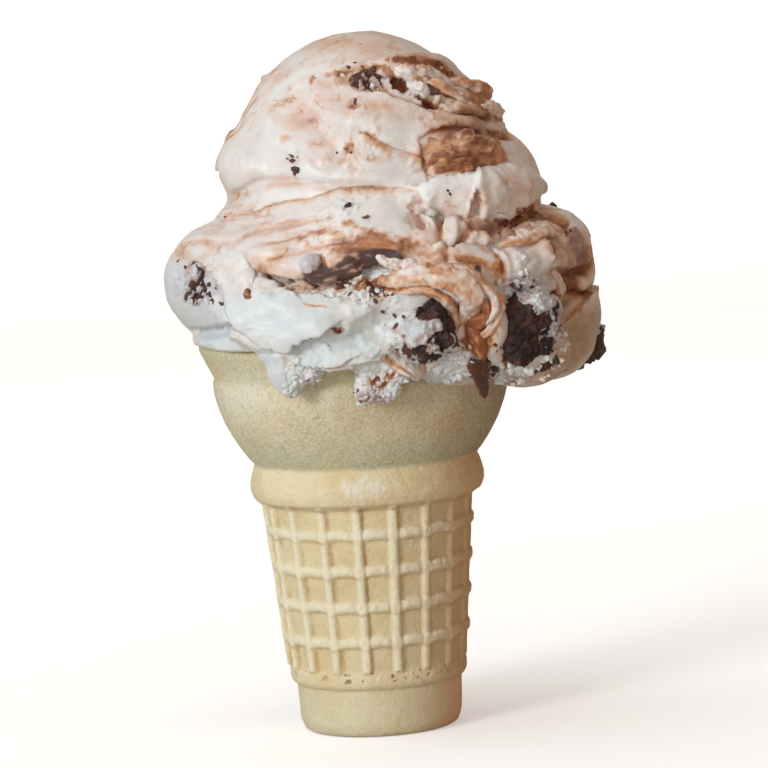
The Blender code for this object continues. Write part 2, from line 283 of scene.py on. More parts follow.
# Grain: noise of two sizes on the object's own coordinates, as a value, a height and rare specks.
def makeGrainGroup():
    group = bpy.data.node_groups.new("grain", "ShaderNodeTree")
    for name, kind, value in (("Size", "NodeSocketFloat", 1.0), ("Stretch", "NodeSocketFloat", 1.0),
                              ("Speck Share", "NodeSocketFloat", 0.1)):
        socket = group.interface.new_socket(name, in_out="INPUT", socket_type=kind)
        socket.default_value = value
    for name in ("Value", "Height", "Specks"):
        group.interface.new_socket(name, in_out="OUTPUT", socket_type="NodeSocketFloat")
    source = addNode(group, "NodeGroupInput").outputs
    where = addNode(group, "ShaderNodeTexCoord").outputs["Object"]
    scale = calculate(group, "DIVIDE", 1000.0, source["Size"])
    stretch = addNode(group, "ShaderNodeCombineXYZ", {"X": 1.0, "Y": 1.0, "Z": source["Stretch"]})
    where = addNode(group, "ShaderNodeVectorMath", {0: where, 1: stretch.outputs[0]},
                    operation="MULTIPLY").outputs[0]
    coarse = addNode(group, "ShaderNodeTexNoise", {"Vector": where, "Scale": scale, "Detail": 4.0})
    fine = addNode(group, "ShaderNodeTexNoise", {
        "Vector": where, "Scale": calculate(group, "MULTIPLY", scale, 3.7), "Detail": 3.0})
    cells = addNode(group, "ShaderNodeTexVoronoi", {
        "Vector": where, "Scale": calculate(group, "MULTIPLY", scale, 0.9)})
    limit = calculate(group, "MULTIPLY", source["Speck Share"], 0.6)
    dots = calculate(group, "SUBTRACT", 1.0, rise(group, cells.outputs["Distance"], 0.10, 0.22))
    chosen = calculate(group, "LESS_THAN", cells.outputs["Color"], limit)
    sink = addNode(group, "NodeGroupOutput")
    height = calculate(group, "MULTIPLY_ADD", fine.outputs[0], 0.4, coarse.outputs[0])
    for name, value in (("Value", coarse.outputs[0]), ("Height", height),
                        ("Specks", calculate(group, "MULTIPLY", dots, chosen))):
        group.links.new(value, sink.inputs[name])
    return group


def useGrain(tree, size, stretch=1.0, speckShare=0.1):
    node = addNode(tree, "ShaderNodeGroup", node_tree=grainGroup)
    node.inputs["Size"].default_value = size
    node.inputs["Stretch"].default_value = stretch
    node.inputs["Speck Share"].default_value = speckShare
    return node.outputs


def attribute(tree, name):
    return addNode(tree, "ShaderNodeAttribute", attribute_name=name).outputs["Fac"]


def useBump(tree, shader, height, distance, strength=1.0, before=None):
    inputs = {"Height": height, "Distance": distance, "Strength": strength}
    if before:
        inputs["Normal"] = before
    bump = addNode(tree, "ShaderNodeBump", inputs)
    tree.links.new(bump.outputs[0], shader.inputs["Normal"])
    return bump.outputs[0]


grainGroup = makeGrainGroup()


# Wafer cup: the same outline as the solid, finer, with rounded ribs and rings and an uneven skin.
cup = {
    "columns": 436, "rows": 226, "front": 0.25, "rounding": 0.32, "coarse": 0.42,
    "stemFoot": (16.9, 10.0), "stemTop": (20.4, 46.4), "neck": (22.2, 54.2), "ledge": (29.6, 71.4),
    "bowlSwell": 0.86, "ringFirst": 19.6, "ringStep": 7.2, "ringCount": 4, "ringHalf": 1.25,
    "ribCount": 18, "ribTurn": 13.0, "ribHalf": 1.02, "relief": 0.98, "footRing": (10.2, 13.6),
}


def stemRadius(height):
    (footRadius, foot), (topRadius, top) = cup["stemFoot"], cup["stemTop"]
    return footRadius + (height - foot) / (top - foot) * (topRadius - footRadius)


# The cup's outline as (radius, height), from the middle of its foot up the outside, over the lip and
# down the inside to the middle of its floor. Near a quarter of an ellipse makes the bowl.
def cupOutline():
    (neckRadius, neck), (ledgeRadius, ledge) = cup["neck"], cup["ledge"]
    share = np.linspace(0, 1, 14)
    bowlHeights = neck + (ledge - neck) * share
    bowlRadii = neckRadius + (ledgeRadius - neckRadius) * np.sin(math.pi / 2 * share) ** cup["bowlSwell"]
    outside = [(0, 0), (14.6, 0), (15.5, 0.5), (16.2, 2.4), (16.55, 9.6), (17.3, 10.1), (17.7, 10.9),
               (17.75, 12.6), (stemRadius(13.8) + 0.1, 13.9), (stemRadius(46.0), 46.0),
               (21.2, 46.5), (22.8, 47.3), (23.4, 48.8), (23.45, 50.4), (23.0, 52.2), (22.6, 53.5), (22.3, 54.0)]
    outside += list(zip(bowlRadii, bowlHeights))
    outside += [(29.15, 71.8), (32.05, 77.9), (31.8, 78.7), (31.2, 79.0), (30.6, 78.8), (30.1, 78.0)]
    inside = [(26.2, 63.2), (20.3, 55.2), (18.3, 45.6), (15.1, 3.2), (14.3, 2.4), (0, 2.4)]
    return np.array(outside + inside, float)


# The outline read at even steps and smoothed over a short stretch, so that its corners are rounded,
# then read again at rows that lie closer together on the outside than on the inside.
def cupRows():
    outline = cupOutline()
    length = np.append(0, np.cumsum(np.linalg.norm(np.diff(outline, axis=0), axis=1)))
    step = 0.1
    fine = np.arange(0, length[-1], step)
    smooth = np.column_stack([np.interp(fine, length, outline[:, axis]) for axis in (0, 1)])
    reach = int(cup["rounding"] / step)
    window = np.hanning(2 * reach + 3)[1:-1]
    window /= window.sum()
    padded = np.pad(smooth, ((reach, reach), (0, 0)), mode="edge")
    smooth = np.column_stack([np.convolve(padded[:, axis], window, mode="valid") for axis in (0, 1)])
    # Rows are close together from the foot ring to the collar, and coarser on the base and the bowl.
    lip = fine[np.argmax(smooth[:, 1])]
    start = 14.0
    foot = np.linspace(0.6, start, 5, endpoint=False)
    weight = np.where((smooth[:, 1] > 9) & (smooth[:, 1] < 54), 1, cup["coarse"])
    gone = np.cumsum(weight)
    reached = np.interp((start, lip + 2), fine, gone)
    outside = np.interp(np.linspace(*reached, cup["rows"] - 33), gone, fine)
    inside = np.linspace(lip + 2, fine[-1] - 0.6, 29)[1:]
    at = np.concatenate([foot, outside, inside])
    return np.column_stack([np.interp(at, fine, smooth[:, axis]) for axis in (0, 1)]), len(foot) + len(outside)


# A bar's rounded section: (1 - |x|^2.4) ^ 0.6 of the offset over the half width, 0 outside it.
def barShape(offset, half):
    return np.clip(1 - np.abs(offset / half) ** 2.4, 0, 1) ** 0.6


def makeCup(material):
    profile, outsideRows = cupRows()
    rows, columns = len(profile), cup["columns"]
    even = np.linspace(-math.pi, math.pi, columns, endpoint=False)
    turns = even - cup["front"] * np.sin(even)
    radius = np.repeat(profile[:, 0], columns)
    height = np.repeat(profile[:, 1], columns)
    turn = np.tile(turns, rows)
    outer = np.repeat(np.arange(rows) < outsideRows, columns)
    around = np.column_stack([radius * np.sin(turn), -radius * np.cos(turn), height])

    # Ribs stand every 20 degrees and rings every 7.2 mm, a little uneven, each ring pinched at the ribs.
    between = 2 * math.pi / cup["ribCount"]
    wander = 0.10 * waves(around, 9.0, 3)
    ribOffset = ((turn - math.radians(cup["ribTurn"]) + between / 2) % between - between / 2) * radius
    rib = barShape(ribOffset + wander, cup["ribHalf"])
    span = ease(height, 12.8, 13.8) * ease(height, 47.3, 46.1) * outer
    ring = 0
    under = 0
    for index in range(cup["ringCount"]):
        middle = cup["ringFirst"] + index * cup["ringStep"]
        sag = 0.30 * np.cos(math.pi * ribOffset / (between * radius + 1e-6)) ** 2
        offset = height - middle + sag + 0.22 * waves(around, 7.0, 5)
        ring = np.maximum(ring, barShape(offset, cup["ringHalf"]))
        under = np.maximum(under, bell(offset + cup["ringHalf"] + 0.1, 0.32))
    # On the right the rings are thicker and run over lower ribs.
    right = ease(turn + 0.05 * waves(around, 9.0, 56), 0.42, 0.75) * ease(turn, 2.6, 2.0)
    pinch = 1 - 0.22 * ease(np.abs(ribOffset), 2.2, 1.0) * (1 - right)
    bars = np.sqrt(((0.97 + 0.25 * right) * ring * pinch) ** 2 + (rib * (1 - 0.4 * right)) ** 2 + 1e-9)
    bars = np.where(bars > 1, 1 + (bars - 1) * 0.25, bars)
    relief = cup["relief"] * bars * span * (1 + 0.12 * waves(around, 5.0, 8))

    # The skin: slow unevenness, a grainy surface, blisters on the collar and rings, and flakes with cracks.
    blister = np.clip(rough(around, 1.6, 2, 21) - 0.15, 0, 1)
    flake = 1.1 * bell(turn + 0.06, 0.34) * bell(height - 50.9, 2.2) + 0.5 * bell(turn + 0.25, 0.16) * bell(height - 47.8, 1.0)
    flake += 0.9 * bell(turn - 0.03, 0.17) * bell(height - 41.4, 1.3) + 0.5 * bell(turn + 0.3, 0.12) * bell(height - 40.8, 0.9)
    flake += 0.5 * bell(turn - 0.22, 0.10) * bell(height - 34.2, 1.1)
    flake += 0.20 * right * ring * span
    flake = ease(flake + 0.50 * rough(around, 2.6, 4, 31), 0.30, 1.10) * outer
    skin = 0.10 * waves(around, 14.0, 11) + 0.06 * rough(around, 2.4, 3, 12)
    skin += 0.14 * blister * (0.25 + flake) + 0.20 * flake * rough(around, 0.9, 2, 41)
    skin -= (0.12 + 0.22 * right) * ease(ring, 0.1, 0.9) * span * np.abs(rough(around, 1.1, 2, 43))
    radius = radius + np.where(outer & (height > 0.4), relief + skin, 0)

    points = np.column_stack([radius * np.sin(turn), -radius * np.cos(turn), height])
    ends = [(0, 0, 0), (0, 0, profile[-1, 1])]
    toast = ease(rough(around, 11.0, 3, 51), 0.10, 0.75)
    # Recess is painted shade: orange brown along the shaded side of each rib, under each ring and under the collar.
    beside = bell(np.abs(ribOffset - 0.25) - cup["ribHalf"], 0.42) * ease(ring, 0.5, 0.1)
    uneven = ease(rough(around * (1, 1, 0.4), 4.0, 3, 52), -0.35, 0.45)
    recess = span * np.maximum(beside * (0.55 + 0.45 * np.sign(ribOffset)), 0.75 * under) * (0.2 + 0.8 * uneven)
    recess = np.maximum(recess, 0.8 * bell(height - 46.2, 0.45) * outer * uneven)
    pits = ease(np.abs(height - 12.4 - 0.5 * waves(around, 4.0, 53)), 1.1, 0.5) * outer
    pits *= ease(np.abs(turn - 0.02), 0.75, 0.35) + 0.35 * ease(waves(around, 9.0, 54), 0.1, 0.5)
    # Painted shade: the far right is darker and browner, and the bowl duller there. Painted light: the bowl is paler at
    # its upper left.
    paintedRightShade = ease(turn + 0.10 * waves(around, 9.0, 55), 0.45, 1.25) * ease(turn, 2.6, 2.0) * outer
    paintedLight = bell(turn + 0.85, 0.55) * bell(height - 70, 7.0) * outer
    attributes = {"flake": flake, "toast": toast * outer, "recess": recess, "pits": pits, "bars": bars * span, "cells": span * (1 - np.clip(bars, 0, 1)),
                  "paintedRightShade": paintedRightShade, "paintedLight": paintedLight, "height": height / 79, "inner": ~outer}
    attributes = {key: np.append(values, (0, 0)) for key, values in attributes.items()}
    return makePiece("waferCup", np.vstack([points, ends]), gridFaces(rows, columns), material,
                     ["wafer_cup"], attributes)


# Wafer: pale cream to khaki by height and cloudy noise, dusty white where it flakes, with a dry fine grain; painted
# shade in orange brown beside the ribs, under the rings and collar, in the cells and on the far right; painted
# highlight on the ribs and rings; painted light on the bowl's upper left.
def makeWafer():
    material, tree, shader = newMaterial("wafer", {"Roughness": 0.75})
    grain = useGrain(tree, 1.3, 1.0, 0.25)
    fine = useGrain(tree, 0.55, 1.0, 0.0)
    cloud = useGrain(tree, 8.0, 1.0, 0.0)
    height = attribute(tree, "height")
    bowl = calculate(tree, "MULTIPLY", rise(tree, height, 0.680, 0.700), 0.9)
    low = calculate(tree, "MULTIPLY", bowl, calculate(tree, "SUBTRACT", 1.0, rise(tree, height, 0.70, 0.80)))
    cloudMask = rise(tree, cloud["Value"], 0.38, 0.66)
    colour = mixColour(tree, cloudMask, (0.80, 0.71, 0.46), (0.74, 0.62, 0.37))
    bowlColour = mixColour(tree, cloudMask, (0.66, 0.60, 0.41), (0.58, 0.50, 0.30))
    colour = mixColour(tree, bowl, colour, bowlColour)
    colour = mixColour(tree, low, colour, (0.55, 0.55, 0.36))
    lip = calculate(tree, "MULTIPLY", rise(tree, height, 0.900, 0.912), 0.75)
    colour = mixColour(tree, lip, colour, (0.47, 0.45, 0.25))
    base = calculate(tree, "SUBTRACT", 1.0, rise(tree, height, 0.10, 0.16))
    colour = mixColour(tree, calculate(tree, "MULTIPLY", base, 0.5), colour, (0.66, 0.60, 0.41))
    # Painted light: the bowl paler at its upper left.
    colour = mixColour(tree, calculate(tree, "MULTIPLY", attribute(tree, "paintedLight"), 0.75), colour, (0.80, 0.765, 0.60))
    toast = calculate(tree, "MULTIPLY", attribute(tree, "toast"), 0.34)
    colour = mixColour(tree, toast, colour, (0.72, 0.52, 0.24))
    # Painted highlight: the ribs and rings lighter, less so where the far right is painted in shade.
    paintedLight = calculate(tree, "MULTIPLY_ADD", attribute(tree, "paintedRightShade"), -0.45, 0.75)
    bars = calculate(tree, "MULTIPLY", attribute(tree, "bars"), paintedLight, clamp=True)
    colour = mixColour(tree, bars, colour, (0.88, 0.83, 0.62))
    # Painted shade on the far right: orange brown on the stem, redder on the base, dark khaki on the bowl.
    brown = mixColour(tree, bowl, (0.65, 0.35, 0.16), (0.25, 0.20, 0.115))
    brown = mixColour(tree, base, brown, (0.86, 0.50, 0.30))
    paintedRightShade = calculate(tree, "MULTIPLY", attribute(tree, "paintedRightShade"), calculate(tree, "MULTIPLY_ADD", bowl, 0.08, 0.64))
    colour = mixColour(tree, paintedRightShade, colour, brown)
    # Painted shade in the cells between the ribs and rings.
    cells = calculate(tree, "MULTIPLY", attribute(tree, "cells"), 0.30)
    colour = mixColour(tree, cells, colour, (0.60, 0.47, 0.25))
    # Painted shade beside the ribs, under the rings and under the collar, broken up by the grain.
    recess = calculate(tree, "MULTIPLY", attribute(tree, "recess"), rise(tree, grain["Value"], 0.20, 0.65))
    colour = mixColour(tree, calculate(tree, "MULTIPLY", recess, 0.92), colour, (0.52, 0.32, 0.12))
    speckle = rise(tree, fine["Value"], 0.42, 0.72)
    grainy = calculate(tree, "MULTIPLY_ADD", bowl, 0.30, 0.14)
    colour = mixColour(tree, calculate(tree, "MULTIPLY", speckle, grainy), colour, (0.86, 0.81, 0.64))
    dusk = calculate(tree, "SUBTRACT", 1.0, rise(tree, fine["Height"], 0.48, 0.66))
    colour = mixColour(tree, calculate(tree, "MULTIPLY", dusk, grainy), colour, (0.34, 0.28, 0.14))
    # Scratches are where a bent noise passes its middle value, broken up by the grain.
    place = addNode(tree, "ShaderNodeTexCoord").outputs["Object"]
    bent = addNode(tree, "ShaderNodeTexNoise", {"Vector": place, "Scale": 420.0, "Detail": 2.0, "Distortion": 1.6})
    fromMiddle = calculate(tree, "ABSOLUTE", calculate(tree, "SUBTRACT", bent.outputs[0], 0.5))
    scratch = calculate(tree, "SUBTRACT", 1.0, rise(tree, fromMiddle, 0.006, 0.022))
    scratch = calculate(tree, "MULTIPLY", scratch, rise(tree, grain["Value"], 0.42, 0.62))
    scratch = calculate(tree, "MULTIPLY", scratch, calculate(tree, "MULTIPLY_ADD", bowl, 0.75, 0.12))
    colour = mixColour(tree, calculate(tree, "MULTIPLY", scratch, 0.30), colour, (0.36, 0.31, 0.17))
    dark = calculate(tree, "MULTIPLY", grain["Specks"], 0.35)
    colour = mixColour(tree, dark, colour, (0.42, 0.27, 0.11))
    holes = addNode(tree, "ShaderNodeTexVoronoi", {"Vector": place, "Scale": 1000 / 1.55})
    hole = calculate(tree, "SUBTRACT", 1.0, rise(tree, holes.outputs["Distance"], 0.24, 0.40))
    pit = calculate(tree, "MULTIPLY", attribute(tree, "pits"), hole, clamp=True)
    colour = mixColour(tree, calculate(tree, "MULTIPLY", pit, 0.85), colour, (0.36, 0.24, 0.10))
    # Flakes show less white where the far right is painted in shade.
    flake = calculate(tree, "MULTIPLY", attribute(tree, "flake"), calculate(tree, "MULTIPLY_ADD", attribute(tree, "paintedRightShade"), -0.45, 0.7))
    colour = mixColour(tree, flake, colour, (0.86, 0.82, 0.70))
    tree.links.new(colour, shader.inputs["Base Color"])
    uneven = calculate(tree, "SUBTRACT", grain["Height"], calculate(tree, "MULTIPLY", pit, 2.6))
    uneven = calculate(tree, "SUBTRACT", uneven, calculate(tree, "MULTIPLY", scratch, 0.3))
    bump = useBump(tree, shader, fine["Height"], 0.00016, 0.9)
    useBump(tree, shader, uneven, 0.00032, 0.8, bump)
    return material


makeCup(makeWafer())


# Ice cream. Lobes are (centre, radii) and folds are (route, thickness), as in the solids.
upperScoop = {
    "heart": (3, 0, 104), "melt": 0.9, "reachFrom": 12, "reachTo": 46, "coarse": 2.0,
    "columns": 384, "rows": 256, "front": 0.42, "lifts": (-40, 88),
    "lobes": {
        "dome": ((3.0, 0, 108.5), (27.2, 28.6, 30.4)),
        "leftCheek": ((-17.0, -5, 114), (8.8, 15, 7.0)),
        "leftShoulder": ((-20.0, -5, 102.4), (7.4, 14, 4.5)),
        "crownRight": ((17, -2, 119.5), (12.6, 19, 11.3)),
        "rightShoulder": ((22, 0, 106), (16.6, 22, 14.6)),
        "frontMound": ((1, -18, 101.5), (16, 15, 8.0)),
        "frontCurl": ((26, -15, 106.5), (12.0, 11, 5.6)),
        "skirt": ((3.5, -1, 98.5), (34.3, 33.3, 8.0)),
        "backFold": ((-6, 20, 107), (17, 12, 8.0)),
    },
    "folds": {
        "curlEdge": (((10, -26, 107.5), (20, -26.5, 107), (29, -23.5, 107.5), (37, -11, 106.5)), 3.6),
        "skirtLeft": (((-26, -6, 100), (-22, -21, 98.5), (-13, -30, 95.5), (-3, -33, 95.5)), 2.8),
        "skirtRight": (((-4, -33, 97), (9, -32.5, 98), (22, -29.5, 99), (33, -19, 101)), 2.8),
        "crownRoll": (((5, -18, 131.5), (12.5, -16, 131.5), (18, -9, 131), (20.5, 2, 129)), 3.0),
        "skirtBack": (((-20, 24, 100), (-4, 32, 98), (14, 31, 100), (30, 22, 102)), 3.4),
    },
}
lowerScoop = {
    "heart": (4, 0, 89), "melt": 0.9, "reachFrom": 12, "reachTo": 54, "coarse": 1.6,
    "columns": 404, "rows": 244, "front": 0.42, "lifts": (-50, 42),
    "lobes": {
        "body": ((5.6, 0, 89), (42.2, 37.3, 17.8)),
        "leftLobe": ((-20.3, -7, 92.0), (17.2, 20, 13.0)),
        "frontSlab": ((-6, -25, 86.5), (20, 12.5, 7.6)),
        "frontRight": ((19, -24, 80.6), (15.4, 11.4, 10.6)),
        "rightFold": ((36, -2, 94.2), (11.1, 22, 8.6)),
        "rearRight": ((34.8, 8, 80.6), (14.2, 19, 11.6)),
        "rearLow": ((37.5, 2, 74.6), (9.3, 13, 7.4)),
        "backRight": ((14, 27, 81), (20, 13, 10.5)),
        "backLeft": ((-16, 22, 84), (17, 14, 11.5)),
        "rightDrip": ((32, -21, 75.2), (9.0, 9, 6.6)),
    },
    "folds": {
        "curlRoll": (((8, -35.5, 91.4), (16, -36.6, 91), (23, -36.0, 88), (26.4, -34.4, 83), (26, -33.4, 79)), 2.6),
        "rightLayer": (((15, -33, 95.5), (26, -31, 93), (35, -25, 93), (41, -15, 95)), 3.0),
        "slabEdge": (((-24, -25, 85), (-17, -33, 82), (-8, -36.5, 83.5), (2, -37.5, 87)), 2.8),
        "underLayer": (((-17, -31, 79), (-6, -36, 78), (4, -37, 79.5), (12, -36.5, 83)), 2.6),
        "backRoll": (((-24, 24, 92), (-8, 36, 88), (12, 38, 90), (30, 29, 93)), 3.6),
        "rimLeft": (((-31.5, -4, 80.6), (-28.5, -15, 80.6), (-22, -24.5, 80.8), (-16, -29.5, 81.0)), 2.0),
    },
}
# What hangs below the rim is closed round hearts of its own.
drips = {
    "tongue": {
        "heart": (-13.6, -31, 77), "melt": 0.5, "reachFrom": 1, "reachTo": 13, "coarse": 3.0,
        "columns": 132, "rows": 84, "front": 0.0, "lifts": (-87, 87), "folds": {},
        "lobes": {"root": ((-13.4, -30.6, 79.6), (6.2, 4.8, 3.8)), "blade": ((-13.9, -31.4, 75.6), (3.9, 3.3, 4.4)),
                  "tip": ((-13.4, -31.6, 72.5), (1.9, 1.9, 2.4)), "torn": ((-9.9, -31.8, 76.4), (3.5, 3.0, 3.4))}},
    "hangingChunk": {
        "heart": (3.2, -33, 74.4), "melt": 0.4, "reachFrom": 1, "reachTo": 13, "coarse": 3.0,
        "columns": 144, "rows": 92, "front": 0.0, "lifts": (-87, 87), "folds": {},
        "lobes": {"root": ((3.0, -32.6, 77.4), (6.4, 4.6, 3.4)), "left": ((1.4, -33.6, 71.4), (2.9, 3.0, 3.2)),
                  "right": ((4.8, -33.4, 70.8), (2.9, 2.9, 2.4)), "side": ((7.0, -34, 74.4), (3.8, 3.0, 2.8))}},
    "backDrip": {
        "heart": (6, 33, 75), "melt": 0.6, "reachFrom": 1, "reachTo": 14, "coarse": 3.0,
        "columns": 104, "rows": 66, "front": 0.0, "lifts": (-87, 87), "folds": {},
        "lobes": {"root": ((6, 32.6, 77.6), (8.0, 4.8, 4.4)), "drop": ((6.4, 33, 72.4), (3.9, 3.8, 5.4))}},
    "backTongue": {
        "heart": (-19, 26.6, 77), "melt": 0.6, "reachFrom": 1, "reachTo": 14, "coarse": 3.0,
        "columns": 104, "rows": 66, "front": 0.0, "lifts": (-87, 87), "folds": {},
        "lobes": {"root": ((-19, 27, 78.6), (6.4, 4.8, 4.0)), "drop": ((-19.4, 26.4, 74.0), (3.9, 3.8, 4.8))}},
}
